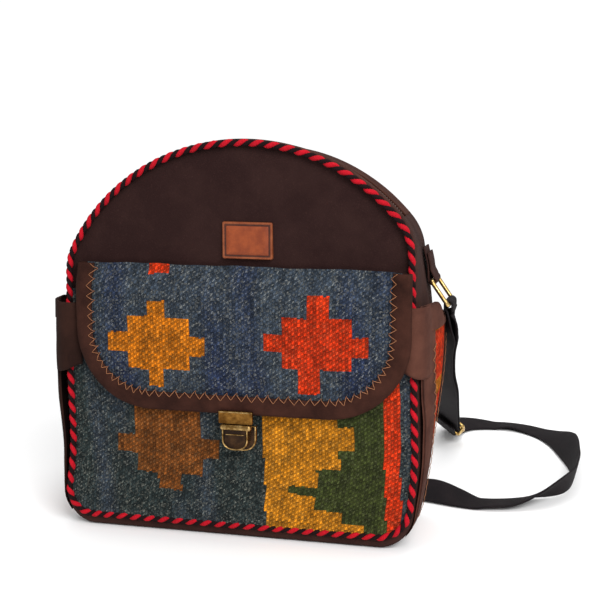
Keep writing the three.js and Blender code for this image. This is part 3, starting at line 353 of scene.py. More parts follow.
def buildWebGroup():
    # Flat webbing: warp ribs along its length crossed by fine weft, in surface millimetres
    tree, ins, outs = makeGroup("webbing", [
        ("Vector", vectorKind, None), ("Colour", colourKind, (0.01, 0.01, 0.012, 1)),
        ("Lit", colourKind, (0.05, 0.04, 0.04, 1)), ("Rib", floatKind, 1.1), ("Weft", floatKind, 0.8)],
        [("Colour", colourKind), ("Height", floatKind)])
    split = tree.nodes.new("ShaderNodeSeparateXYZ")
    tree.links.new(ins.outputs["Vector"], split.inputs[0])
    across = mathNode(tree, "DIVIDE", split.outputs[1], ins.outputs["Rib"])
    along = mathNode(tree, "DIVIDE", split.outputs[0], ins.outputs["Weft"])
    rib = mathNode(tree, "ABSOLUTE", mathNode(tree, "SINE", mathNode(tree, "MULTIPLY", across, math.pi)))
    column = mathNode(tree, "MULTIPLY", mathNode(tree, "FLOOR", across), 0.5)
    phase = mathNode(tree, "MULTIPLY", mathNode(tree, "ADD", along, column), 2 * math.pi)
    weft = mathNode(tree, "MULTIPLY", mathNode(tree, "ADD", mathNode(tree, "SINE", phase), 1.0), 0.5)
    crest = mathNode(tree, "ADD", mathNode(tree, "MULTIPLY", weft, 0.5), 0.5)
    height = mathNode(tree, "MULTIPLY", rib, crest)
    # Painted sheen: the rib crests are mixed towards the Lit colour, more strongly in some broad patches.
    sheenPatch = rangeNode(tree, noiseNode(tree, ins.outputs["Vector"], 0.08, 4, 0.6), 0.35, 0.7)
    share = mathNode(tree, "MULTIPLY", height, rangeNode(tree, sheenPatch, 0, 1, 0.35, 0.9))
    tree.links.new(mixColour(tree, share, ins.outputs["Colour"], ins.outputs["Lit"]), outs.inputs["Colour"])
    tree.links.new(height, outs.inputs["Height"])
    return tree


groups = {"nap": buildNapGroup(), "yarn": buildYarnGroup(), "patina": buildPatinaGroup(),
          "web": buildWebGroup()}


def material(name, group, settings, roughness=0.9, metallic=0.0, sheen=0.0, bump=0.3, distance=0.0004,
             source="object", attribute=None, specular=0.3):
    mat = bpy.data.materials.new(name)
    mat.use_nodes = True
    tree = mat.node_tree
    shader = tree.nodes["Principled BSDF"]
    node = tree.nodes.new("ShaderNodeGroup")
    node.node_tree = groups[group]
    coords = tree.nodes.new("ShaderNodeTexCoord")
    tree.links.new(coords.outputs["Object" if source == "object" else "UV"], node.inputs["Vector"])
    for label, value in settings.items():
        node.inputs[label].default_value = (*toLinear(value), 1) if isinstance(value, tuple) else value
    if attribute:
        reader = tree.nodes.new("ShaderNodeVertexColor")
        reader.layer_name = attribute
        tree.links.new(reader.outputs["Color"], node.inputs["Colour"])
    tree.links.new(node.outputs["Colour"], shader.inputs["Base Color"])
    if "Roughness" in node.outputs:
        tree.links.new(node.outputs["Roughness"], shader.inputs["Roughness"])
    else:
        shader.inputs["Roughness"].default_value = roughness
    shader.inputs["Metallic"].default_value = metallic
    shader.inputs["Sheen Weight"].default_value = sheen
    shader.inputs["Sheen Roughness"].default_value = 0.5
    shader.inputs["Specular IOR Level"].default_value = specular
    bumpNode = tree.nodes.new("ShaderNodeBump")
    bumpNode.inputs["Strength"].default_value = bump
    bumpNode.inputs["Distance"].default_value = distance
    tree.links.new(node.outputs["Height"], bumpNode.inputs["Height"])
    tree.links.new(bumpNode.outputs[0], shader.inputs["Normal"])
    return mat


def suedeShaded(name, colour, rubbed, rub):
    return material(name, "nap", {"Colour": colour, "Rubbed": rubbed, "Rub": rub, "Patch scale": 42.0,
                    "Grain scale": 1300.0}, bump=0.35, distance=0.0004, specular=0.1)


felt = material("brownFelt", "nap", {"Colour": (35, 19, 18), "Rubbed": (62, 41, 37), "Rub": 0.2,
                "Patch scale": 45.0, "Grain scale": 1000.0}, bump=0.4, distance=0.0005, specular=0.1)
suede = suedeShaded("brownSuede", (52, 28, 22), (84, 52, 42), 0.5)
# The binding's suede is a darker copy of the brown suede: painted shade on the front-facing binding.
suedeDeepPaintedShade = suedeShaded("brownSuedeDeepPaintedShade", (38, 19, 14), (68, 39, 30), 0.6)
# The right side pocket's suede is a lighter copy of the brown suede: painted light on the side turned to the
# key lamp.
suedePaintedLight = suedeShaded("brownSuedePaintedLight", (62, 35, 28), (98, 62, 50), 0.5)
# The left side pocket's suede is a darker copy of the brown suede: painted shade on the side turned away from
# the light.
suedePaintedShade = suedeShaded("brownSuedePaintedShade", (32, 17, 13), (54, 32, 25), 0.5)
suedeDark = suedeShaded("brownSuedeDark", (46, 27, 24), (70, 46, 39), 0.4)
wool = material("kilimWool", "yarn", {"Depth": 0.85, "Fibre scale": 1100.0}, attribute="weave",
                bump=0.4, distance=0.0003, roughness=0.95, specular=0.08)
redYarn = material("redYarn", "yarn", {"Colour": (168, 12, 28), "Depth": 0.7, "Fibre scale": 1400.0},
                   bump=0.4, distance=0.0003, specular=0.15)
blackYarn = material("blackYarn", "yarn", {"Colour": (24, 13, 14), "Depth": 0.5, "Fibre scale": 1400.0},
                     bump=0.4, distance=0.0003, specular=0.1)
thread = material("copperThread", "yarn", {"Colour": (140, 92, 62), "Depth": 0.7, "Fibre scale": 2500.0},
                  bump=0.3, distance=0.0002, roughness=0.6, specular=0.2)
brass = material("antiqueBrass", "patina", {"Metal": (92, 60, 24), "Worn": (146, 104, 48), "Scale": 150.0},
                 metallic=1.0, bump=0.08, distance=0.0001, specular=0.5)
# Dark brass for the lock's recessed faces: painted shade inside the base plate's rim and the housing.
brassPaintedShade = material("darkBrassPaintedShade", "patina", {"Metal": (34, 21, 13), "Worn": (60, 40, 22), "Scale": 150.0},
                     metallic=0.8, bump=0.08, distance=0.0001, specular=0.4)
brassBright = material("polishedBrass", "patina", {"Metal": (112, 84, 44), "Worn": (196, 164, 108),
                       "Scale": 220.0}, metallic=1.0, bump=0.05, distance=0.0001, specular=0.5)
goldPlate = material("goldPlate", "patina", {"Metal": (176, 142, 80), "Worn": (226, 196, 134),
                     "Scale": 220.0}, metallic=1.0, bump=0.05, distance=0.0001, specular=0.5)
tanLeather = material("tanLeather", "nap", {"Colour": (112, 46, 17), "Rubbed": (148, 70, 30), "Rub": 0.6,
                      "Patch scale": 120.0, "Grain scale": 900.0}, bump=0.25, distance=0.0002, roughness=0.55)
edgeLeather = material("leatherEdge", "nap", {"Colour": (112, 52, 22), "Rubbed": (146, 82, 46), "Rub": 0.5,
                       "Patch scale": 150.0, "Grain scale": 900.0},
                       bump=0.25, distance=0.0002, roughness=0.55)
burntLeather = material("burntLeather", "nap", {"Colour": (52, 20, 10), "Rubbed": (82, 36, 18), "Rub": 0.5,
                        "Patch scale": 150.0, "Grain scale": 900.0}, bump=0.2, distance=0.0002, roughness=0.6)
# Lit is the painted sheen on the webbing's rib crests.
web = material("blackWebbing", "web", {"Colour": (10, 8, 12), "Lit": (40, 31, 32)}, source="uv",
               bump=0.6, distance=0.0004, roughness=0.8, specular=0.15)
zipCloth = material("zipTape", "nap", {"Colour": (42, 27, 24), "Rubbed": (62, 44, 38), "Rub": 0.4,
                    "Patch scale": 80.0, "Grain scale": 1800.0}, bump=0.3, distance=0.0003, specular=0.1)
zipTeeth = material("zipTeeth", "nap", {"Colour": (72, 54, 44), "Rubbed": (96, 74, 62), "Rub": 0.4,
                    "Patch scale": 80.0, "Grain scale": 900.0}, bump=0.05, distance=0.0001, roughness=0.5)
print("materials made")


# The bag's outline, walked from the left end of the zip down, along the base, up to the
# zip's right end and back over the arch. Each stretch keeps its own count of points, so
# outlines at different insets pair point by point.
def arc(cx, cz, r, a, b, count):
    t = np.linspace(a, b, count)
    return np.stack([cx + r * np.cos(t), cz + r * np.sin(t)], 1)


def shoulder(side):
    x = side * (body["halfWidthShoulder"] - body["shoulderRadius"])
    reach = body["archRadius"] - body["shoulderRadius"]
    z = body["archZ"] + math.sqrt(reach ** 2 - (x - body["archX"]) ** 2)
    return x, z, math.atan2(z - body["archZ"], x - body["archX"])


leftX, leftZ, leftAngle = shoulder(-1)
rightX, rightZ, rightAngle = shoulder(1)


def outline(inset=0.0, base=None, part="all"):
    base = inset if base is None else base
    corner = body["halfWidthBase"] - body["baseRadius"]
    r = body["baseRadius"] - inset
    shoulderR = body["shoulderRadius"] - inset
    straight = lambda a, b, n: np.linspace(a, b, n + 2)[1:-1]
    left = arc(leftX, leftZ, shoulderR, leftAngle, math.pi, 26)
    lowLeft = arc(-corner, base + r, r, math.pi, 1.5 * math.pi, 22)
    lowRight = arc(corner, base + r, r, 1.5 * math.pi, 2 * math.pi, 22)
    right = arc(rightX, rightZ, shoulderR, 0, rightAngle, 26)
    sides = np.vstack([left, straight(left[-1], lowLeft[0], 60), lowLeft,
                       straight(lowLeft[-1], lowRight[0], 80), lowRight,
                       straight(lowRight[-1], right[0], 60), right])
    arch = arc(body["archX"], body["archZ"], body["archRadius"] - inset, rightAngle, leftAngle, 110)
    return {"sides": sides, "arch": arch, "all": np.vstack([sides, arch[1:-1]])}[part]


def outlineNormals(points, closed):
    if closed:
        t = np.roll(points, -1, 0) - np.roll(points, 1, 0)
    else:
        t = np.gradient(points, axis=0)
    t = normalise(t)
    return np.stack([t[:, 1], -t[:, 0]], 1)


def halfWidthAt(z):
    share = np.clip((np.asarray(z, float) - body["baseRadius"]) / (rightZ - body["baseRadius"]), 0, 1)
    return body["halfWidthBase"] + (body["halfWidthShoulder"] - body["halfWidthBase"]) * share


def tuckAt(y, z):
    # Low down, the sides draw in towards the back
    depth = np.clip((y - frontY) / (backY - frontY), 0, 1)
    return body["tuck"] * (1 - smoothstep(z, 15, 120)) * smoothstep(depth, 0.12, 0.95)


def skinPoint(flat, normal, y, lift=0.0):
    # The soft skin of the sides and the arch: smaller towards the back on top, a little
    # full at the sides, flat under the base
    depth = np.clip((y - frontY) / (backY - frontY), 0, 1)
    high = smoothstep(flat[..., 1], 150, 250)
    low = smoothstep(flat[..., 1], 4, 40)
    shrink = high * body["archShrink"] * smoothstep(depth, 0.0, 1.1)
    full = low * (1 - high) * body["sideBulge"] * np.sin(np.pi * depth) ** 0.8
    sag = high * 2.2 * np.sin(np.pi * depth)
    crease = low * 0.7 * ripple(flat[..., 1] * 1.2 + y, y * 2.2 + flat[..., 0], 0.7) * np.sin(np.pi * depth)
    out = lift - shrink + full - sag + crease
    x = flat[..., 0] + normal[..., 0] * out
    x = x - np.sign(x) * tuckAt(y, flat[..., 1]) * smoothstep(np.abs(flat[..., 0]), 60, 130)
    z = flat[..., 1] + normal[..., 1] * out
    return np.stack([x, np.broadcast_to(y, x.shape), np.maximum(z, 0.0)], -1)


def sheetLoop(ys, lifts, wall, bead=0.6):
    # A strip of cloth's closed section: its outer face, a rolled edge, its inner face
    ys, lifts = np.asarray(ys, float), np.asarray(lifts, float)
    outer = np.stack([ys, lifts], 1)
    inner = np.stack([ys[::-1], lifts[::-1] - wall], 1)
    first = np.array([[ys[0] - bead * 0.5, lifts[0] - wall / 2]])
    last = np.array([[ys[-1] + bead * 0.5, lifts[-1] - wall / 2]])
    return np.vstack([outer, last, inner, first])


def skinStrip(name, flat, normal, ys, lifts, wall, mat):
    loop = sheetLoop(ys, lifts, wall)
    points = skinPoint(flat[:, None, :], normal[:, None, :], loop[None, :, 0], loop[None, :, 1])
    count = len(loop)
    faces = [gridFaces(len(flat), count, closeCols=True),
             np.arange(count)[None, ::-1], (len(flat) - 1) * count + np.arange(count)[None, :]]
    step = np.linalg.norm(np.diff(flat, axis=0, prepend=flat[:1]), axis=1)
    uv = np.stack([np.repeat(np.cumsum(step), count), np.tile(loop[:, 0], len(flat))], 1)
    return meshObject(name, points, faces, mat, uv=uv)


def buildBody():
    sides = outline(part="sides")
    normals = outlineNormals(sides, False)
    seam = outline(cord["radius"], cord["base"], "sides")
    backSeam = outline(3.0, 3.0, "sides")
    # Rolled front edge, from under the cord round onto the side
    rows = [np.stack([seam[:, 0], np.full(len(seam), panelY + 0.5), seam[:, 1]], 1)]
    for share, y in [(0.35, frontY + 0.1), (0.72, frontY + 0.5), (0.92, frontY + 1.8)]:
        p = seam + (sides - seam) * share
        rows.append(np.stack([p[:, 0], np.full(len(p), y), p[:, 1]], 1))
    for y in np.linspace(frontY + 4.5, backY - 4.5, 26):
        rows.append(skinPoint(sides, normals, y))
    for share, y in [(0.3, backY - 1.6), (0.75, backY - 0.4), (1.0, backY - 0.2)]:
        at = skinPoint(sides + (backSeam - sides) * share, normals, backY)
        at[:, 1] = y
        rows.append(at)
    points = np.stack(rows, 1)
    points[..., 2] = np.maximum(points[..., 2], 0.0)
    side = meshObject("sideCloth", points, gridFaces(len(sides), len(rows)), suedeDark)
    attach(side, "bag")
    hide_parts("side_band")

    arch = outline(part="arch")
    archNormals = outlineNormals(arch, False)
    frontYs = np.concatenate([[frontY + 0.4, frontY + 1.4], np.linspace(frontY + 4, middleY - 9.5, 9)])
    frontLifts = np.concatenate([[-2.6, -0.7], np.zeros(9)])
    strip = skinStrip("archClothFront", arch, archNormals, frontYs, frontLifts, 1.6, suede)
    backYs = np.concatenate([np.linspace(middleY + 9.5, backY - 4, 9), [backY - 1.4, backY - 0.4]])
    backLifts = np.concatenate([np.zeros(9), [-0.7, -2.6]])
    back = skinStrip("archClothBack", arch, archNormals, backYs, backLifts, 1.6, suede)
    for piece, node in [(strip, "arch_strip_front"), (back, "arch_strip_back")]:
        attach(piece, "bag")
        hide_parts(node)
    return arch, archNormals


archFlat, archNormal = buildBody()


def buildPanels():
    # Felt panels: rings of the seam's outline drawn in towards the middle
    shares = np.array([1, 0.992, 0.975, 0.95, 0.91, 0.86, 0.8, 0.73, 0.65, 0.56, 0.47, 0.38, 0.29, 0.2,
                       0.11, 0.03])
    middle = np.array([2.0, 132.0])
    seam = outline(cord["radius"], cord["base"], "all")
    flat = middle + (seam[:, None] - middle) * shares[None, :, None]
    x, z = flat[..., 0], flat[..., 1]
    high = smoothstep(z, 203, 222)
    inside = smoothstep(1 - shares, 0.0, 0.14)[None, :]
    full = high * inside * (2.6 + 0.9 * ripple(x * 1.3, z * 1.7, 1.9))
    y = panelY + 0.6 - full
    last = len(shares) - 1 + np.arange(len(seam))[None, :] * len(shares)
    front = meshObject("frontFelt", np.stack([x, y, z], -1),
                       [gridFaces(len(seam), len(shares), closeRows=True, flip=True), last], felt)
    rear = outline(3.0, 3.0, "all")
    rearNormal = outlineNormals(rear, True)
    edge = skinPoint(rear, rearNormal, backY)
    flat = middle + (edge[:, None, [0, 2]] - middle) * shares[None, :, None]
    x, z = flat[..., 0], flat[..., 1]
    y = backY - 0.4 + inside * (2.4 + 0.8 * ripple(x, z, 4.4))
    back = meshObject("backFelt", np.stack([x, y, z], -1),
                      [gridFaces(len(rear), len(shares), closeRows=True), last[:, ::-1]], felt)
    for piece, node in [(front, "front_panel"), (back, "back_panel")]:
        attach(piece, "bag")
        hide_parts(node)


buildPanels()


def buildZip():
    # Two tapes under the strips' edges and a coil on each, meshing along the middle
    for side in (-1, 1):
        ys = middleY + side * np.array([0.5, 3.0, 6.0, 10.0, 14.0])
        loop = sheetLoop(np.sort(ys), np.full(5, -2.6), 0.8)
        points = skinPoint(archFlat[:, None], archNormal[:, None], loop[None, :, 0], loop[None, :, 1])
        faces = [gridFaces(len(archFlat), len(loop), closeCols=True),
                 np.arange(len(loop))[None, ::-1],
                 (len(archFlat) - 1) * len(loop) + np.arange(len(loop))[None]]
        tape = meshObject("zipTapeCloth" + ("Front" if side < 0 else "Back"), points, faces, zipCloth)
        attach(tape, "bag")
    length = body["archRadius"] * (leftAngle - rightAngle)
    pitch = 2.2
    count = int(length / pitch)
    profile = np.array([[3.4, -0.2], [3.0, 0.9], [1.6, 1.35], [0.2, 1.1], [-0.7, 0.5], [-0.9, -0.2]])
    for side in (-1, 1):
        place = np.arange(count) + (0.5 if side > 0 else 0.0)
        angle = rightAngle + 0.02 + place * pitch / body["archRadius"]
        angle = angle[angle < leftAngle - 0.02]
        rings = []
        for dy, dz in profile:
            for k in range(5):
                turn = 2 * np.pi * k / 5
                along = 0.55 * np.cos(turn) / body["archRadius"]
                lift = -2.4 + dz + 0.45 * np.sin(turn)
                flat = np.stack([body["archX"] + body["archRadius"] * np.cos(angle + along),
                                 body["archZ"] + body["archRadius"] * np.sin(angle + along)], 1)
                normal = np.stack([np.cos(angle), np.sin(angle)], 1)
                rings.append(skinPoint(flat, normal, np.full(len(angle), middleY + side * dy), lift))
        points = np.stack(rings, 1)
        per = len(profile) * 5
        one = gridFaces(len(profile), 5, closeCols=True)
        faces = (one[None] + (np.arange(len(angle)) * per)[:, None, None]).reshape(-1, 4)
        coil = meshObject("zipCoil" + ("Front" if side < 0 else "Back"), points, faces, zipTeeth)
        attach(coil, "bag")
    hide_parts("zip_tape_front")
    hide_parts("zip_tape_back")


buildZip()


def buildSeamCord():
    # Two plump strands twisted round each other, one red and one black
    path2, length = resample(outline(cord["radius"], cord["base"], "all"), 1300, closed=True)
    y = frontY - cord["radius"] + 0.5
    turns = round(length / cord["twist"])
    phase = np.linspace(0, 2 * np.pi * turns, len(path2), endpoint=False)
    path = np.stack([path2[:, 0], np.full(len(path2), y), path2[:, 1]], 1)
    tangent = normalise(np.roll(path, -1, 0) - np.roll(path, 1, 0))
    out = np.array([0.0, -1.0, 0.0])
    across = np.cross(out, tangent)
    for name, mat, start, size, swing in [("cordRed", redYarn, 0.0, 1.78, 0.95),
                                          ("cordBlack", blackYarn, np.pi, 1.6, 0.98)]:
        line = path + swing * (np.cos(phase + start)[:, None] * out + np.sin(phase + start)[:, None] * across)
        radius = size * (1 + 0.04 * np.sin(phase * 7 + start))
        strand = tube(name, line, radius, mat, sides=8, closed=True)
        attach(strand, "bag")
    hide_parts("seam_cord")


buildSeamCord()
print("body, zip and cord made")


# Woven cloth: every bead of the weft is a small swelling of the mesh, and takes its
# colour from the field it lies in
weave = {"column": 2.25, "bead": 3.15, "height": 0.6, "slant": 0.3}
shades = {"slate": (60, 70, 82), "teal": (46, 56, 56), "gold": (196, 124, 26), "amber": (212, 118, 20),
          "orange": (212, 54, 18), "tan": (124, 70, 28), "green": (58, 66, 31), "fleck": (158, 154, 140),
          "navy": (42, 52, 78)}


def inFields(x, z, fields):
    found = np.zeros(x.shape, bool)
    for x0, x1, z0, z1 in fields:
        found |= (x > x0) & (x < x1) & (z > z0) & (z < z1)
    return found


def flapFields(x, z):
    dye = smoothstep(ripple(x * 1.1, z * 0.25, 6.0), -0.2, 0.7)[..., None]
    colour = np.array(shades["slate"]) * (1 - dye) + np.array(shades["navy"]) * dye
    amber = inFields(x, z, [(-61, -48, 162, 176.5), (-77.5, -31, 126, 164.5), (-94, -77, 138, 152),
                            (-32, -19, 137, 151.5), (-62, -50.5, 113, 127)])
    orange = inFields(x, z, [(55.5, 71, 167, 183.5), (37, 86.5, 132, 168.3), (24, 38, 143, 156),
                             (86, 97, 141.5, 155), (49, 65, 114, 133), (-63.5, -48.5, 194.3, 210)])
    colour[amber] = shades["amber"]
    colour[orange] = shades["orange"]
    return colour, amber | orange


def pocketFields(x, z):
    mix = smoothstep(ripple(x * 1.4, z * 0.3, 2.0), -0.6, 0.3)[..., None]
    colour = np.array(shades["slate"]) * (1 - mix) + np.array(shades["teal"]) * mix
    tan = inFields(x, z, [(-73.4, -24.2, 46, 110), (-87.5, -73, 61, 75.5), (-25, -12, 60, 74.7),
                          (-57.7, -40.5, 33.5, 47)])
    seam, stripe = 20.8, 106.1
    green = (x > seam) & (x < stripe)
    gold = inFields(x, z, [(seam, 75, 89, 112), (seam, 86.5, 73.5, 90), (seam, 75, 57.6, 74),
                           (seam, 58.3, 43.5, 58), (seam, 38, 37.5, 44), (seam, 56.1, 25.5, 37.6),
                           (seam, 75.1, 16.3, 26), (seam, 90.3, 8, 16.6)])
    orange = (x > stripe) & (x < 117)
    colour = colour * 0.92
    colour[green] = shades["green"]
    colour[gold] = shades["gold"]
    colour[tan] = shades["tan"]
    colour[orange] = shades["orange"]
    return colour, green | tan | orange


def sideFields(x, z):
    colour = np.broadcast_to(np.array(shades["orange"], float), (*x.shape, 3)).copy()
    colour[np.abs((z % 46) - 23) < 5] = shades["amber"]
    colour[(z > 30) & (z < 42)] = shades["slate"]
    return colour, np.ones(x.shape, bool)


def weaveGrid(name, x0, x1, top, foot, place, fieldsOf, per=3):
    # place(x, z, proud) gives the point that stands proud millimetres off the cloth
    columns = int(round((x1 - x0) / weave["column"]))
    low = float(np.min(foot(np.linspace(x0, x1, 200))))
    rows = int(math.ceil((top - low) / weave["bead"]))
    u = np.linspace(0, columns, columns * per + 1)
    v = np.linspace(0, rows, rows * per + 1)
    x = x0 + (x1 - x0) * u / columns
    x, v2 = np.meshgrid(x, v, indexing="xy")
    u2 = np.broadcast_to(u[None, :], x.shape)
    z = top - v2 * weave["bead"]
    floor = foot(x)
    shift = 0.5 * (np.floor(np.minimum(u2, columns - 1e-6)) % 2)
    across = np.abs(np.sin(np.pi * u2)) ** 0.7
    along = np.abs(np.sin(np.pi * (v2 + shift))) ** 0.7
    uneven = 1 + 0.25 * ripple(x * 3.1, z * 3.7, 5.0)
    proud = weave["height"] * uneven * (0.15 + 0.85 * across) * (0.2 + 0.8 * along)
    # Each bead leans a little, and the rows wander as hand weaving does
    lean = weave["slant"] * weave["column"] * np.sin(2 * np.pi * (v2 + shift)) * across
    inside = smoothstep(x, x0, x0 + 6) * (1 - smoothstep(x, x1 - 6, x1))
    x = x + lean * inside + 0.5 * ripple(x * 0.9, z * 1.9, 7.0) * inside
    z = np.maximum(z + 0.5 * ripple(x * 1.3, z * 0.7, 8.0), floor)
    points = place(x, z, proud)
    faces = gridFaces(*x.shape, flip=True)
    uMid = (u2[:-1, :-1] + u2[1:, 1:]).ravel() / 2
    vMid = (v2[:-1, :-1] + v2[1:, 1:]).ravel() / 2
    column = np.floor(uMid).astype(int)
    bead = np.floor(vMid + 0.5 * (column % 2)).astype(int)
    beadX = x0 + (x1 - x0) * (column + 0.5) / columns
    beadZ = top - (bead + 0.5 - 0.5 * (column % 2)) * weave["bead"]
    lookZ = top - vMid * weave["bead"] + 0.5 * np.sin(column * 12.9 + bead * 7.1)
    colour, plain = fieldsOf(beadX - slumpAt(beadZ), lookZ)
    table = chance.random((columns + 2, rows + 3, 3))
    roll = table[column, bead]
    streak = 1 + 0.10 * ripple(beadX * 5.0, beadZ * 0.35, 3.3) + 0.06 * ripple(beadX * 0.6, beadZ * 6.0, 1.2)
    colour = colour * ((0.76 + 0.44 * roll[:, 0]) * streak)[:, None]
    # Worn fibres lighten a part of some beads
    fibre = chance.random(len(colour))
    worn = np.where(plain, 0.16, 0.5) * smoothstep(fibre + 0.35 * roll[:, 1], 0.74, 1.15)
    colour = colour * (1 - worn)[:, None] + np.array(shades["fleck"]) * worn[:, None]
    # The gaps between beads are darkened: painted shade.
    columnGap = 1 - np.abs(2 * (uMid - np.floor(uMid)) - 1)
    beadGap = 1 - np.abs(2 * (vMid + 0.5 * (column % 2) - bead) - 1)
    colour = colour * (0.62 + 0.38 * smoothstep(np.minimum(columnGap * 1.2, beadGap), 0.2, 0.8))[:, None]
    zs = z.ravel()
    fs = floor.ravel()
    dead = (zs[faces] <= fs[faces] + 1e-6).all(axis=1)
    keep = ~dead
    return meshObject(name, points, faces[keep], wool, colours=toLinear(np.clip(colour[keep], 0, 255)))


pocket = {"wall": 2.4, "top": 181, "bulge": 8, "rib": 0.45}
flap = {"x": 4.4, "half": 122.9, "top": 201, "bottom": 96.5, "corner": 58, "binding": 13.6}


def pocketOff(x, z):
    across = 1 - np.abs(x / (halfWidthAt(z) - 2 * cord["radius"])) ** 4
    up = smoothstep(z, cord["base"], pocket["top"] * 0.75)
    return 0.4 + pocket["bulge"] * np.maximum(0, across) * (0.2 + 0.8 * up)


def flapOff(x, z):
    onPocket = pocketOff(x, np.minimum(z, pocket["top"])) + pocket["wall"] + pocket["rib"] + 0.6
    down = 1 - smoothstep(z, pocket["top"] + 1, flap["top"] - 1)
    overCord = 6.6 * smoothstep(x, 108, 123)
    return np.maximum(0.5 + (onPocket - 0.5) * down, overCord)


def flapFoot(x, inset):
    half = flap["half"] - inset
    corner = flap["corner"] - inset
    over = np.maximum(0, np.abs(x - flap["x"]) - (half - corner))
    return flap["bottom"] + inset + corner - np.sqrt(np.maximum(0, corner ** 2 - over ** 2))


def buildPocket():
    half = body["halfWidthShoulder"] - 2 * cord["radius"] + 3.2
    corner = body["baseRadius"] - 3

    def foot(x):
        over = np.maximum(0, np.abs(x) - (half - corner))
        return cord["base"] + 1.2 + corner - np.sqrt(np.maximum(0, corner ** 2 - over ** 2))

    def place(x, z, proud):
        wide = half + (halfWidthAt(z) - body["halfWidthShoulder"]) * 0.8
        spread = x * wide / half
        loose = 0.5 * ripple(x, z, 0.4) * smoothstep(z, 20, 60)
        off = pocketOff(np.clip(spread, -half, half), z) + 1.6 + loose
        return np.stack([spread, panelY - off - proud, z], -1)

    cloth = weaveGrid("pocketWeave", -half, half, pocket["top"], foot, place, pocketFields)
    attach(cloth, "bag")
    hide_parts("front_pocket")
    # Lining behind the woven face
    xs = np.linspace(-half, half, 60)
    zs = np.linspace(0, 1, 40)
    x, t = np.meshgrid(xs, zs, indexing="xy")
    z = foot(x) + 1 + (pocket["top"] - foot(x) - 1.5) * t
    y = panelY - pocketOff(np.clip(x, -half, half), z) - 0.2
    lining = meshObject("pocketLining", np.stack([x, y, z], -1), gridFaces(40, 60), felt)
    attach(lining, "bag")


buildPocket()


def buildFlap():
    inset = 7.0

    def place(x, z, proud):
        off = flapOff(x, z) + 2.6
        sewn = smoothstep(z, 190, flap["top"])
        return np.stack([x, panelY - off - proud + sewn * 0.6, z + 0.6 * ripple(x * 1.4, 0, 2.2) * sewn], -1)

    left, right = flap["x"] - flap["half"] + inset, flap["x"] + flap["half"] - inset
    cloth = weaveGrid("flapWeave", left, right, flap["top"], lambda x: flapFoot(x, inset), place, flapFields)
    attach(cloth, "bag")
    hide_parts("flap")
    return cloth


flapCloth = buildFlap()


def flapEdge(inset, count=420):
    half = flap["half"] - inset
    corner = flap["corner"] - inset
    z = flap["bottom"] + inset + corner
    top = flap["top"] - 0.5
    cx = half - corner
    path = np.vstack([
        [[flap["x"] - half, top]], arc(flap["x"] - cx, z, corner, math.pi, 1.5 * math.pi, 40),
        arc(flap["x"] + cx, z, corner, 1.5 * math.pi, 2 * math.pi, 40), [[flap["x"] + half, top]]])
    return resample(path, count)[0]


def buildBinding():
    # Suede folded over the flap's edge; its section runs from the back lip round to the front
    width = flap["binding"]
    total = 5.9
    section = [(width - 3, 0.0), (7, -0.1), (2.5, 0.0), (0.7, 0.6), (0.0, 1.9), (0.0, 3.6), (0.6, 5.0),
               (2.2, total), (6.0, total + 0.35), (10.0, total + 0.3), (13.4, total + 0.05),
               (width, total - 0.5), (width, total - 1.6), (10.0, total - 1.5), (4.0, total - 1.6),
               (2.0, 3.0), (4.0, 1.3), (width - 3, 1.2)]
    rings = []
    for inset, off in section:
        line = flapEdge(inset)
        s = np.arange(len(line)) * 0.95
        edge = smoothstep(inset, 10, 15)
        wave = 0.45 * ripple(s * 4, inset * 2.0, 3.0) * (0.4 + 0.6 * edge)
        x, z = line[:, 0], line[:, 1]
        y = panelY - flapOff(x, np.minimum(z, flap["top"])) - off - wave * (off > 3)
        rings.append(np.stack([x, y, z + 0.5 * edge * wave], 1))
    points = np.stack(rings, 1)
    count = len(section)
    faces = [gridFaces(len(points), count, closeCols=True),
             np.arange(count)[None, ::-1], (len(points) - 1) * count + np.arange(count)[None]]
    # Painted shade: the binding takes a darker copy of the suede.
    binding = meshObject("flapBinding", points, faces, suedeDeepPaintedShade)
    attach(binding, "bag")
    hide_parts("flap_binding")
    return binding


flapBinding = buildBinding()


def zigzag(name, surface, along, low, high, period, jitter):
    # A zigzag of thread between two lines; surface(s, d) gives the point, off the cloth
    count = int(along / period * 2)
    s = np.linspace(0, along, count + 1)
    d = np.where(np.arange(count + 1) % 2 == 0, low, high).astype(float)
    s = s + jitter * (chance.random(len(s)) - 0.5)
    d = d + jitter * (chance.random(len(s)) - 0.5)
    fine = np.linspace(0, count, count * 5 + 1)
    ss = np.interp(fine, np.arange(count + 1), s)
    dd = np.interp(fine, np.arange(count + 1), d)
    arch = np.abs(np.sin(np.pi * fine))
    points = surface(ss, dd, 0.15 + 0.35 * arch)
    return tube(name, points, 0.26, thread, sides=5)


def buildFlapStitch():
    line = flapEdge(0, 900)
    step = np.linalg.norm(np.diff(line, axis=0, prepend=line[:1]), axis=1)
    along = np.cumsum(step)
    tangent = normalise(np.gradient(line, axis=0))
    inward = np.stack([-tangent[:, 1], tangent[:, 0]], 1)

    def surface(s, d, lift):
        x = np.interp(s, along, line[:, 0]) + d * np.interp(s, along, inward[:, 0])
        z = np.interp(s, along, line[:, 1]) + d * np.interp(s, along, inward[:, 1])
        proud = np.where(d > 14.9, 3.4, 6.2)
        y = panelY - flapOff(x, np.minimum(z, flap["top"])) - proud - lift
        return np.stack([x, y, z], 1)

    stitch = zigzag("flapStitch", surface, along[-1], 10.4, 15.4, 7.6, jitter=1.3)
    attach(stitch, "bag")


buildFlapStitch()
print("front made")


# Side pockets
sidePocket = {"top": 162, "frontTop": 177, "base": 12, "bulge": 10.5}


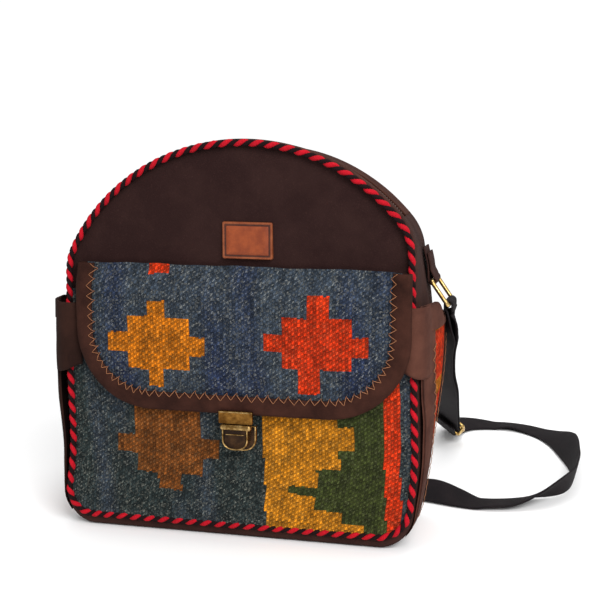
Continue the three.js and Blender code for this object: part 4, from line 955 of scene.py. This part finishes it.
def sideOff(y, z, side):
    # The left pocket hangs full towards the front and low down, the right one at its mouth
    share = np.clip((y - frontY) / (backY - frontY), 0, 1)
    if side < 0:
        share = share ** 0.5
        up = 0.3 * smoothstep(z, 9, 50) + 0.7 * smoothstep(z, sidePocket["base"], 105)
    else:
        share = share ** (0.7 + 0.5 * smoothstep(z, 90, 140))
        up = 0.12 * smoothstep(z, 9, 32) + 0.88 * smoothstep(z, sidePocket["base"], sidePocket["top"])
    across = np.maximum(0, np.sin(np.pi * share)) ** 0.6
    return 0.6 * smoothstep(z, 7, 20) + sidePocket["bulge"] * across * up


def sideTop(y, side):
    front = sidePocket["frontTop"] - (6 if side < 0 else 0)
    return front - (front - sidePocket["top"]) * smoothstep(y, -8, 16)


def sidePlace(side, y, z, lift):
    # Round the lower corner with the body, and out over the pocket's fullness above it
    r = body["baseRadius"]
    over = np.clip(r - z, 0, r)
    corner = r - np.sqrt(np.maximum(0, r ** 2 - over ** 2))
    lift = lift * (0.1 + 0.9 * smoothstep(z, 9, 36))
    x = halfWidthAt(z) - corner + sideOff(y, np.minimum(z, sidePocket["top"]), side) + lift - tuckAt(y, z)
    return np.stack([side * x, y, z], -1)


def sideSheet(name, side, ys, zs, lift, wall, mat, topOf=None):
    y, t = np.meshgrid(ys, zs, indexing="ij")
    z = t
    if topOf is not None:
        low, high = zs[0], zs[-1]
        z = low + (topOf(y, side) - low) * (t - low) / (high - low)
    wave = 0.35 * ripple(y * 3, z * 1.6, 2.0 + side)
    outer = sidePlace(side, y, z, lift + wave)
    inner = sidePlace(side, y, z, lift - wall + wave)
    points = np.concatenate([outer.reshape(-1, 3), inner.reshape(-1, 3)])
    rows, cols = y.shape
    half = rows * cols
    faces = [gridFaces(rows, cols, flip=side > 0), gridFaces(rows, cols, flip=side < 0) + half]
    first = np.arange(rows - 1) * cols
    last = first + cols - 1
    j = np.arange(cols - 1)
    across = np.stack([j, j + 1, j + 1 + half, j + half], 1)
    rims = [
        np.stack([first, first + cols, first + cols + half, first + half], 1),
        np.stack([last, last + cols, last + cols + half, last + half], 1)[:, ::-1],
        across[:, ::-1], across + (rows - 1) * cols]
    for rim in rims:
        faces.append(rim if side > 0 else rim[:, ::-1])
    return meshObject(name, points, faces, mat)


def buildSidePocket(side):
    word = "Right" if side > 0 else "Left"
    node = word.lower()
    window = middleY + np.array([-22.5, 18.5])
    # Painted light and shade: the right pocket takes the lighter copy of the suede, the left pocket the
    # darker copy.
    cloth = suedePaintedLight if side > 0 else suedePaintedShade
    front = sideSheet("pocketFrontStrip" + word, side, np.linspace(frontY + 1, window[0] + 1.5, 14),
                      np.linspace(10, 160, 46), 1.9, 1.7, cloth)
    back = sideSheet("pocketBackStrip" + word, side, np.linspace(window[1] - 1.5, backY - 1, 12),
                     np.linspace(10, 159, 46), 1.9, 1.7, cloth)
    hem = sideSheet("pocketHem" + word, side, np.linspace(frontY + 0.5, backY - 1, 40),
                    np.linspace(157.5, sidePocket["top"], 8), 2.5, 1.9, cloth, topOf=sideTop)
    for piece in (front, back, hem):
        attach(piece, "bag")
    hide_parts("side_pocket_band_" + node)

    def place(y, z, proud):
        return sidePlace(side, side * y, z, 0.6 + proud)

    bounds = sorted([side * window[0], side * window[1]])
    foot = lambda y: np.full(np.shape(y), 10.0)
    woven = weaveGrid("pocketSideWeave" + word, bounds[0], bounds[1], 159, foot, place, sideFields)
    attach(woven, "bag")
    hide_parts("side_pocket_kilim_" + node)

    # Stitching down the strips
    def stripLine(s, d, lift):
        return sidePlace(side, d, 20 + s, 2.3 + lift)

    # The hem's end is carried over the cord and tucked under the flap's edge
    rail = np.array([[137.2, -17], [136.6, -25], [135.4, -31], [133.6, -35.2], [130.8, -38.0], [127.6, -38.9],
                     [124.0, -38.3], [120.5, -36.6], [116.5, -35.2]])
    around, upright = 26, 22
    steps = np.arange(around)
    rail, _ = resample(rail, around)
    low, high = (127, 177) if side > 0 else (119, 171)
    if side < 0:
        rail[:, 0] += 4.0 * (1 - smoothstep(steps, 4, 17))
    zs = np.linspace(low, high, upright)
    lean = halfWidthAt(zs) - halfWidthAt(150)
    k = steps[:, None]
    x = side * (rail[:, 0][:, None] + lean[None, :]) + 0.3 * ripple(zs[None] * 2, k * 3.0, 1.0)
    y = rail[:, 1][:, None] + 0.5 * ripple(zs[None] * 2.4, k * 2.0, 3.0)
    fall = 6.0 * smoothstep(k, 13, 25)
    z = zs[None, :] + fall * (1 - (zs[None, :] - low) / (high - low))
    wrap = meshObject("hemWrap" + word, np.stack([x, y, z], -1),
                      gridFaces(around, upright, flip=side > 0), cloth)
    solid = wrap.modifiers.new("wall", "SOLIDIFY")
    solid.thickness = 1.3 * mm
    solid.offset = -1
    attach(wrap, "bag")

    # A short row of zigzag over the turned end, below its top edge
    out = normalise(np.stack([np.gradient(rail[:, 1]), -np.gradient(rail[:, 0])], 1))

    def wrapLine(s, d, lift):
        k = 3 + s
        shift = halfWidthAt(d) - halfWidthAt(150)
        at = [np.interp(k, steps, rail[:, c]) + lift * np.interp(k, steps, out[:, c]) for c in (0, 1)]
        return np.stack([side * (at[0] + shift), at[1], d], 1)

    stitches = [zigzag("wrapStitch", wrapLine, 12, high - 13.5, high - 9.5, 3.0, jitter=0.7),
                zigzag("stripStitch", stripLine, 128, window[0] - 4.4, window[0] + 0.6, 7.6, jitter=1.0),
                zigzag("stripStitch", stripLine, 128, window[1] + 4.4, window[1] - 0.6, 7.6, jitter=1.0)]
    stitch = merged("pocketStitch" + word, stitches)
    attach(stitch, "bag")


for side in (-1, 1):
    buildSidePocket(side)
print("side pockets made")


# Label patch: bare tan leather with a pale edge and a burnt groove
def roundedLoop(width, height, r, count=12):
    parts = [arc(sx * (width / 2 - r), sz * (height / 2 - r), r, a, a + math.pi / 2, count)
             for sx, sz, a in [(1, 1, 0), (-1, 1, math.pi / 2), (-1, -1, math.pi), (1, -1, 1.5 * math.pi)]]
    return np.vstack(parts)


def platePiece(name, steps, x, z, mat, bend=None):
    # Nested outlines (width, height, corner, y) from the back edge to the middle
    loops = []
    for width, height, r, y in steps:
        loop = roundedLoop(width, height, r)
        loops.append(np.stack([x + loop[:, 0], np.full(len(loop), y), z + loop[:, 1]], 1))
    points = np.stack(loops, 0)
    count = points.shape[1]
    faces = [gridFaces(len(steps), count, closeCols=True, flip=True),
             (len(steps) - 1) * count + np.arange(count)[None, ::-1]]
    if bend is not None:
        points = bend(points)
    return meshObject(name, points, faces, mat)


def buildLabel():
    w, h, y = 36.4, 26.0, panelY - 2.6
    x, z = 9.5, 219.5
    edge = platePiece("labelEdge", [
        (w, h, 1.2, y + 1.8), (w, h, 1.2, y - 0.6), (w - 0.8, h - 0.8, 1.0, y - 1.1),
        (w - 2.4, h - 2.4, 0.8, y - 1.1), (w - 3.0, h - 3.0, 0.7, y - 0.7)], x, z, edgeLeather)
    groove = platePiece("labelGroove", [(w - 3.1, h - 3.1, 0.7, y - 0.72), (w - 6.4, h - 6.4, 0.5, y - 0.75)],
                        x, z, burntLeather)
    field = platePiece("labelField", [(w - 5.6, h - 5.6, 0.6, y - 0.7), (w - 6.2, h - 6.2, 0.6, y - 1.05),
                                      (w - 12, h - 11, 0.5, y - 1.25)], x, z, tanLeather)
    for piece in (edge, groove, field):
        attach(piece, "bag")
    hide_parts("label_patch")


buildLabel()


# Tuck lock, in antiqued brass
def deePath(width, height, top, count=40):
    r = width / 2
    t = np.linspace(0, 1, count)[:, None]
    foot = top - height
    knots = np.array([[-r, foot + r * 0.85], [-r, foot + r * 0.15], [-r * 0.5, foot], [0, foot]])
    curve = (knots[0] * (1 - t) ** 3 + 3 * knots[1] * (1 - t) ** 2 * t
             + 3 * knots[2] * (1 - t) * t ** 2 + knots[3] * t ** 3)
    left = np.vstack([[[-r, top]], curve])
    right = left[::-1] * np.array([-1, 1])
    return np.vstack([left, right[1:]])


def deePlate(name, steps, x, mat):
    loops = []
    for width, height, top, y in steps:
        loop = deePath(width, height, top)
        loops.append(np.stack([x + loop[:, 0], np.full(len(loop), y), loop[:, 1]], 1))
    points = np.stack(loops, 0)
    count = points.shape[1]
    faces = [gridFaces(len(steps), count, closeCols=True), (len(steps) - 1) * count + np.arange(count)[None]]
    return meshObject(name, points, faces, mat)


def buildLock():
    x = 4.4
    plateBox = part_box("lock_tongue_plate")
    front = plateBox[0][1] / mm
    top, seat = plateBox[1][2] / mm, plateBox[1][1] / mm
    face = front - 0.9

    def dome(points):
        share = (points[..., 0] - x) / 14.5
        high = smoothstep(points[..., 2], top - 9.8, top)
        points[..., 2] -= 0.9 * share ** 2 * high
        points[..., 1] += 0.55 * share ** 2
        return points

    zMid = top - 4.9
    upper = platePiece("lockUpperPlate", [
        (24.8, 9.8, 0.8, seat - 0.1), (24.8, 9.8, 0.8, face + 0.5), (24.5, 9.5, 0.8, face + 0.1),
        (24.0, 9.0, 0.7, face), (23.6, 8.6, 0.6, face + 0.3), (22.0, 7.4, 0.5, face + 0.42)],
        x, zMid, brass, bend=dome)
    # Painted highlight: a thin strip of brighter brass along the upper plate's top edge.
    rim = platePiece("lockUpperRim", [
        (24.9, 1.0, 0.3, face + 0.5), (24.9, 1.0, 0.3, face - 0.02), (24.3, 0.5, 0.2, face - 0.18)],
        x, top - 0.7, brassBright, bend=dome)
    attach(upper, "bag")
    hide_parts("lock_tongue_plate")
    # Housing: a rounded bar over a raised half-round rim
    zBar = top - 12.4
    bar = platePiece("lockBar", [
        (22.6, 4.0, 1.6, seat + 1.2), (23.0, 4.4, 1.8, face + 0.9), (22.4, 3.8, 1.7, face),
        (21.2, 2.5, 1.2, face - 0.75), (19.8, 1.1, 0.5, face - 1.0)], x, zBar, brassBright)
    housing = deePlate("lockHousing", [
        (18.8, 17.8, zBar + 1.5, seat + 2.4), (19.2, 18.2, zBar + 1.5, face + 0.7),
        (18.9, 17.9, zBar + 1.5, face + 0.1), (18.3, 17.4, zBar + 1.2, face - 0.3),
        (17.5, 16.7, zBar + 1.0, face - 0.3), (16.9, 16.2, zBar + 0.8, face + 0.2),
        (16.7, 16.0, zBar + 0.8, face + 4.2)], x - 0.4, brassBright)
    base = deePlate("lockBasePlate", [
        (22.4, 18.6, zBar + 0.5, seat + 5.6), (22.4, 18.6, zBar + 0.5, seat + 3.4),
        (22.0, 18.3, zBar + 0.4, seat + 2.7), (21.2, 17.6, zBar + 0.3, seat + 2.6)], x + 2.6, brassBright)
    # Painted shade: the base plate's inner face, within its rim, is dark brass.
    well = deePlate("lockBaseWell", [
        (21.0, 17.5, zBar + 0.3, seat + 2.7), (20.6, 17.2, zBar + 0.3, seat + 2.5),
        (20.2, 16.9, zBar + 0.3, seat + 2.5)], x + 2.6, brassPaintedShade)
    for piece, node in [(rim, None), (well, None), (bar, None), (housing, "lock_housing"),
                        (base, "lock_base_plate")]:
        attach(piece, "bag")
        if node:
            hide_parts(node)
    # Painted shade: the press, set back inside the housing, is dark brass.
    press = deePlate("lockPress", [
        (16.4, 14.6, zBar - 1.6, face + 1.7), (16.2, 14.4, zBar - 1.7, face + 0.6),
        (15.6, 13.8, zBar - 2.0, face + 0.35), (14.4, 12.6, zBar - 2.4, face + 0.6)], x - 0.4, brassPaintedShade)
    ledge = platePiece("lockLedge", [
        (13.4, 0.7, 0.3, face + 0.7), (13.4, 0.7, 0.3, face + 0.3), (13.1, 0.4, 0.2, face + 0.15)],
        x - 0.4, zBar - 5.2, brassBright)
    for piece in (press, ledge):
        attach(piece, "lock_button")
    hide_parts("lock_button")


buildLock()
print("label and lock made")


# Strap hardware
ring = {"x": 132.997, "y": middleY + 22, "z": 187.0, "leg": 21.0, "inside": 27.0, "wire": 3.2,
        "swing": math.radians(35)}


def roundedRectPath(half, low, high, r):
    # Closed path in (along, down) with round corners
    loop = roundedLoop(2 * half, high - low, r, 10) + np.array([0, (low + high) / 2])
    return resample(loop, 120, closed=True)[0]


def buildRing(side):
    word = "right" if side > 0 else "left"
    flat = roundedRectPath(ring["inside"] / 2 + ring["wire"] / 2, -ring["leg"], 0, 2.4)
    out = side * np.sin(ring["swing"])
    x = side * ring["x"] - flat[:, 1] * out
    z = ring["z"] + flat[:, 1] * math.cos(ring["swing"])
    path = np.stack([x, ring["y"] + flat[:, 0], z], 1)
    wire = tube("ringWire" + word.capitalize(), path, ring["wire"] / 2, goldPlate, sides=14, closed=True,
                up=(side, 0, 0.7))
    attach(wire, "ring_" + word)
    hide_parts("ring_" + word)
    # The tab: webbing round the ring's upper bar, sewn to the side above it
    r = 2.7
    t = np.linspace(-0.35 * math.pi, 1.0 * math.pi, 16)
    px = side * ring["x"] + side * r * np.cos(-t)
    pz = ring["z"] + r * np.sin(-t)
    up = np.linspace(ring["z"] + 2, ring["z"] + 24, 10)
    sideX = halfWidthAt(up) + 0.8 - 3.5 * smoothstep(up, ring["z"] + 8, ring["z"] + 30)
    px = np.concatenate([px, side * sideX])
    pz = np.concatenate([pz, up])
    outerUp = np.linspace(ring["z"] + 20, ring["z"] + 3, 10)
    flare = 2.6 * smoothstep(outerUp, ring["z"] + 9, ring["z"] + 2)
    outerX = halfWidthAt(outerUp) + 2.6 - 3.3 * smoothstep(outerUp, ring["z"] + 8, ring["z"] + 30) + flare
    px = np.concatenate([side * outerX, px])
    pz = np.concatenate([outerUp, pz])
    line = np.stack([px, np.full(len(px), ring["y"]), pz], 1)
    line, _ = resample(line, 70)
    return line, word


def stripSweep(name, centres, wides, width, thick, mat, puff=0.25):
    # A flat strip with softly rounded edges; its map is in millimetres along and across
    tangent = normalise(np.gradient(centres, axis=0))
    wide = wides - np.sum(wides * tangent, 1, keepdims=True) * tangent
    wide = normalise(wide)
    up = np.cross(wide, tangent)
    w, h = width / 2, thick / 2
    across = np.array([-w, -w + 0.5, -w + 1.6, -w * 0.6, 0, w * 0.6, w - 1.6, w - 0.5, w,
                       w - 0.5, w - 1.6, w * 0.6, 0, -w * 0.6, -w + 1.6, -w + 0.5])
    swell = np.array([0.8, 1, 1 + puff * 0.6, 1 + puff, 1 + puff * 0.6, 1, 0.8])
    lift = h * np.concatenate([[0], -swell, [0], swell])
    points = centres[:, None] + across[None, :, None] * wide[:, None] + lift[None, :, None] * up[:, None]
    count = len(across)
    faces = [gridFaces(len(centres), count, closeCols=True),
             np.arange(count)[None, ::-1], (len(centres) - 1) * count + np.arange(count)[None]]
    step = np.linalg.norm(np.diff(centres, axis=0, prepend=centres[:1]), axis=1)
    u = np.repeat(np.cumsum(step), count)
    v = np.tile(across, len(centres))
    return meshObject(name, points, faces, mat, uv=np.stack([u, v], 1))


for side in (-1, 1):
    line, word = buildRing(side)
    wides = np.broadcast_to(np.array([0.0, 1.0, 0.0]), line.shape)
    tab = stripSweep("tab" + word.capitalize(), line, wides, 24, 1.4, suedeDark)
    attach(tab, "bag")
    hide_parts("ring_tab_" + word)


# The strap's route, point by point, with the direction of its width
barX = ring["x"] + ring["leg"] * math.sin(ring["swing"])
barZ = ring["z"] - ring["leg"] * math.cos(ring["swing"])
webWidth, webWall, tailGap = 25.0, 1.7, 5.6
# The play between webbing and metal, and the weight of the width's direction in a route's curve
play, wideWeight = 0.3, 12
foldRadius = ring["wire"] / 2 + play + webWall / 2
runTopX = barX + foldRadius
doubledRoute = [
    ((barX, 22, barZ - tailGap), (0, -1, 0)), ((barX - 0.3, 22, 158.5), (0.36, -0.93, -0.06)),
    ((142.8, 31, 149), (0.55, -0.8, -0.2)), ((138.2, 52, 134), (0.64, -0.64, -0.4)),
    ((133.8, 88, 107.5), (0.7, -0.42, -0.53)), ((132.3, 120, 84), (0.82, -0.23, -0.53)),
    ((128, 172, 55), (0.82, -0.23, -0.53)), ((123.7, 224, 26), (0.82, -0.23, -0.53)),
    ((121.2, 254.5, 9), (0.82, -0.23, -0.53))]
runRoute = [
    ((121.8, 255.8, 2.2), (0.82, -0.23, -0.53)), ((121.5, 260.5, 0.2), (0.8, -0.3, -0.48)),
    ((121.9, 267, 0.2), (0.74, -0.48, -0.36)), ((125, 278, 0.3), (0.6, -0.74, -0.26)),
    ((134, 290, 0.2), (0.3, -0.93, -0.22)), ((147, 297, 0.2), (0.05, -0.98, -0.12)),
    ((161, 300, 0.2), (0, -1, 0)), ((178, 299, 0.2), (-0.05, -1, 0.1)),
    ((196, 291, 0.2), (-0.4, -0.92, 0.03)), ((212, 275, 0.2), (-0.6, -0.78, -0.12)),
    ((224, 250, 0.2), (-0.75, -0.42, -0.42)), ((232, 214, 0.2), (-0.62, -0.15, -0.75)),
    ((238, 172, 0.2), (-0.3, -0.02, -0.95)), ((239.5, 138, 0.2), (-0.22, 0.02, -0.97)),
    ((234, 108, 0.2), (-0.3, 0.25, -0.92)), ((222, 91, 0.2), (-0.2, 0.65, -0.7)),
    ((207, 80, 0.2), (-0.1, 0.9, -0.38)), ((190, 72, 0.2), (-0.1, 0.98, -0.12)),
    ((174, 68, 0.2), (0, 0.99, -0.08)), ((158, 68, 0.2), (0, 1, 0.1)),
    ((143, 71, 0.2), (0, 0.95, 0.3)), ((126, 75, 0.2), (0, 0.88, 0.45)),
    ((100, 77, 0.2), (0, 0.96, 0.25)), ((60, 76, 0.2), (0, 1, 0)), ((15, 76, 0.2), (0, 1, 0)),
    ((-35, 78, 0.2), (0, 1, 0)), ((-78, 76, 3), (0, 1, 0)), ((-104, 69, 22), (0, 1, 0)),
    ((-120, 63, 58), (0, 1, 0.1)), ((-133, 60, 98), (0, 1, 0.2)), ((-144, 52, 126), (0, 1, 0.4)),
    ((-150, 36, 146), (0, 1, 0.4)), ((-runTopX, 22, 158), (0, 1, 0)),
    ((-runTopX, 22, barZ - tailGap), (0, 1, 0))]


def centripetal(points, per=24):
    # A smooth curve through the points, its knots spaced by the root of their distance
    p = np.asarray(points, float)
    p = np.vstack([2 * p[0] - p[1], p, 2 * p[-1] - p[-2]])
    gap = np.sqrt(np.maximum(np.linalg.norm(np.diff(p, axis=0), axis=1), 1e-6))
    t = np.concatenate([[0], np.cumsum(gap)])
    out = []
    for i in range(1, len(p) - 2):
        t0, t1, t2, t3 = t[i - 1:i + 3]
        s = np.linspace(t1, t2, per, endpoint=False)[:, None]
        a1 = (t1 - s) / (t1 - t0) * p[i - 1] + (s - t0) / (t1 - t0) * p[i]
        a2 = (t2 - s) / (t2 - t1) * p[i] + (s - t1) / (t2 - t1) * p[i + 1]
        a3 = (t3 - s) / (t3 - t2) * p[i + 1] + (s - t2) / (t3 - t2) * p[i + 2]
        b1 = (t2 - s) / (t2 - t0) * a1 + (s - t0) / (t2 - t0) * a2
        b2 = (t3 - s) / (t3 - t1) * a2 + (s - t1) / (t3 - t1) * a3
        out.append((t2 - s) / (t2 - t1) * b1 + (s - t1) / (t2 - t1) * b2)
    out.append(p[-2][None])
    return np.vstack(out)


def routeLine(route, spacing=2.5, floor=False):
    both = centripetal([(*at, *[w * wideWeight for w in wide]) for at, wide in route])
    step = np.linalg.norm(np.diff(both[:, :3], axis=0), axis=1)
    length = np.sum(step)
    along = np.concatenate([[0], np.cumsum(step)])
    t = np.linspace(0, length, int(length / spacing) + 1)
    line = np.stack([np.interp(t, along, both[:, k]) for k in range(6)], 1)
    centre, wide = line[:, :3].copy(), normalise(line[:, 3:])
    tangent = normalise(np.gradient(centre, axis=0))
    wide = normalise(wide - np.sum(wide * tangent, 1, keepdims=True) * tangent)
    up = np.cross(wide, tangent)
    if floor:
        lying = 1 - smoothstep(centre[:, 2], webWidth, 2 * webWidth)
        centre[:, 2] += lying * (np.abs(wide[:, 2]) * webWidth + np.abs(up[:, 2]) * webWall * 1.25) / 2
    centre[:, 1] += middleY
    return centre, wide, up, t


layerGap = (webWall + 0.9) / 2


def layerAt(along):
    return foldRadius + (layerGap - foldRadius) * smoothstep(along, 0, 24)


def foldArc(side, count=18):
    # Webbing over the ring's lower bar: two short tails below a half turn
    turn = np.linspace(0, math.pi, count)
    x = np.concatenate([[foldRadius], foldRadius * np.cos(turn), [-foldRadius]])
    z = np.concatenate([[-5.0], foldRadius * np.sin(turn), [-5.0]])
    line = np.stack([side * (barX + x), np.full(len(x), ring["y"]), barZ + z], 1)
    return resample(line, 30)[0]


def buildStrap():
    centre, wide, up, t = routeLine(doubledRoute)
    running = centre + up * layerAt(t)[:, None]
    run, runWide, _, _ = routeLine(runRoute, floor=True)
    # One webbing from the right ring, through the adjuster and over the floor to the left ring
    blendAt = 6
    line = np.vstack([running[:-blendAt], run[blendAt:]])
    wides = np.vstack([wide[:-blendAt], runWide[blendAt:]])
    dense = centripetal(np.hstack([line, wides * wideWeight])[::3], per=4)
    strap = stripSweep("strapWebbing", dense[:, :3], normalise(dense[:, 3:]), webWidth, webWall, web)
    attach(strap, "bag")
    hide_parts("webbing_run", "webbing_running_layer")

    # The return layer, from the ring's fold back to the adjuster's middle bar
    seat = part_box("webbing_return_layer")
    stop = seat[1][1] / mm
    back = centre - up * layerAt(t)[:, None]
    keep = centre[:, 1] < stop - 4
    layer = stripSweep("strapReturn", back[keep], wide[keep], webWidth, webWall, web)
    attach(layer, "bag")
    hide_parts("webbing_return_layer")

    for side, word in [(1, "right"), (-1, "left")]:
        fold = foldArc(side)
        flat = np.broadcast_to(np.array([0.0, 1.0, 0.0]), fold.shape)
        piece = stripSweep("strapFold" + word.capitalize(), fold, flat, webWidth, webWall, web)
        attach(piece, "ring_" + word)
        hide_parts("webbing_fold_" + word)


buildStrap()


def buildAdjuster():
    # A wire adjuster: two end bars over the running layer, the middle bar under it
    start, low, end = [np.array(doubledRoute[i][0]) + np.array([0, middleY, 0]) for i in (5, 7, 8)]
    seat = low + (end - low) * 0.35
    along = normalise(end - start)
    wide = np.array(doubledRoute[8][1])
    wide = normalise(wide - np.dot(wide, along) * along)
    up = np.cross(wide, along)
    bar = 1.3
    lift = layerGap + webWall / 2 + play + bar
    half, reach = webWidth / 2 + 1.8, 8.7
    at = lambda a, w, u: seat + along * a + wide * w + up * u
    loops = []
    flat = roundedRectPath(half, -reach, reach, 2.6)
    frameLine = seat + flat[:, 1:2] * along + flat[:, 0:1] * wide + lift * up
    loops.append(tube("adjusterFrame", frameLine, 1.4, goldPlate, sides=12, closed=True, up=up))
    drop = np.linspace(0, 1, 9)[:, None]
    for s in (-1, 1):
        for foot in (-reach * 0.5, reach * 0.5):
            leg = at(foot, s * half, lift) * (1 - drop) + at(0, s * half, -lift) * drop
            loops.append(tube("adjusterLeg", leg, bar, goldPlate, sides=10, up=up))
    loops.append(tube("adjusterBar", np.vstack([at(0, w, -lift) for w in np.linspace(-half, half, 9)]), 1.35,
                      goldPlate, sides=12, up=up))
    adjuster = merged("strapAdjuster", loops)
    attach(adjuster, "strap_slider")
    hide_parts("strap_slider")
    r = bar + play + webWall / 2
    turn = np.linspace(math.pi / 2, -math.pi / 2, 16)
    a = np.concatenate([[-4], r * np.cos(turn), [-22]])
    u = np.concatenate([[r], r * np.sin(turn), [-r]])
    line, _ = resample(np.stack([a, u], 1), 40)
    line = seat + line[:, 0:1] * along + (line[:, 1:2] - lift) * up
    flatWide = np.broadcast_to(wide, line.shape)
    sewn = stripSweep("strapSewnEnd", line, flatWide, webWidth, webWall, web)
    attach(sewn, "strap_slider")
    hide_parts("webbing_sewn_end")


buildAdjuster()
print("strap made")

# CAD pieces that keep their own shape
for node, mat in [("zip_slider", brassBright), ("zip_pull", goldPlate)]:
    obj = bpy.data.objects[node]
    if obj.material_slots:
        for each in obj.material_slots:
            each.material = mat
    else:
        obj.data.materials.append(mat)


# Floor, light and background
def buildStage():
    size = 6.0
    floor = bpy.data.meshes.new("floor")
    corners = [(-size, -size, 0), (size, -size, 0), (size, size, 0), (-size, size, 0)]
    floor.from_pydata(corners, [], [(0, 1, 2, 3)])
    obj = bpy.data.objects.new("floor", floor)
    obj.location = (0, 0, -0.0004)
    scene.collection.objects.link(obj)
    mat = bpy.data.materials.new("floorPale")
    mat.use_nodes = True
    shader = mat.node_tree.nodes["Principled BSDF"]
    shader.inputs["Base Color"].default_value = (0.93, 0.93, 0.93, 1)
    shader.inputs["Roughness"].default_value = 0.9
    shader.inputs["Specular IOR Level"].default_value = 0.1
    # The floor fades out well away from the bag, so no horizon shows
    tree = mat.node_tree
    coords = tree.nodes.new("ShaderNodeTexCoord")
    reach = tree.nodes.new("ShaderNodeVectorMath")
    reach.operation = "LENGTH"
    tree.links.new(coords.outputs["Object"], reach.inputs[0])
    fade = rangeNode(tree, reach.outputs["Value"], 0.42, 1.0, 1.0, 0.0)
    tree.links.new(fade, shader.inputs["Alpha"])
    floor.materials.append(mat)
    world = bpy.data.worlds.new("studio")
    scene.world = world
    world.use_nodes = True
    tree = world.node_tree
    back = tree.nodes["Background"]
    back.inputs["Color"].default_value = (1, 1, 1, 1)
    back.inputs["Strength"].default_value = 0.55
    seen = tree.nodes.new("ShaderNodeBackground")
    seen.inputs["Color"].default_value = (1, 1, 1, 1)
    seen.inputs["Strength"].default_value = 1.05
    path = tree.nodes.new("ShaderNodeLightPath")
    mix = tree.nodes.new("ShaderNodeMixShader")
    tree.links.new(path.outputs["Is Camera Ray"], mix.inputs[0])
    tree.links.new(back.outputs[0], mix.inputs[1])
    tree.links.new(seen.outputs[0], mix.inputs[2])
    tree.links.new(mix.outputs[0], tree.nodes["World Output"].inputs["Surface"])
    for name, place, aim, power, side in [
            ("keyLight", (1.0, -1.35, 1.3), (0, 0, 0.14), 44, 1.1),
            ("fillLight", (-1.4, -1.3, 0.9), (0, 0, 0.14), 5, 1.4),
            ("topLight", (0.1, 0.5, 1.9), (0.05, 0, 0.1), 18, 1.6)]:
        light = bpy.data.lights.new(name, "AREA")
        light.energy = power
        light.size = side
        lamp = bpy.data.objects.new(name, light)
        lamp.location = place
        lamp.rotation_mode = "QUATERNION"
        lamp.rotation_quaternion = (Vector(aim) - Vector(place)).to_track_quat("-Z", "Y")
        scene.collection.objects.link(lamp)
    scene.view_settings.view_transform = "Standard"


buildStage()
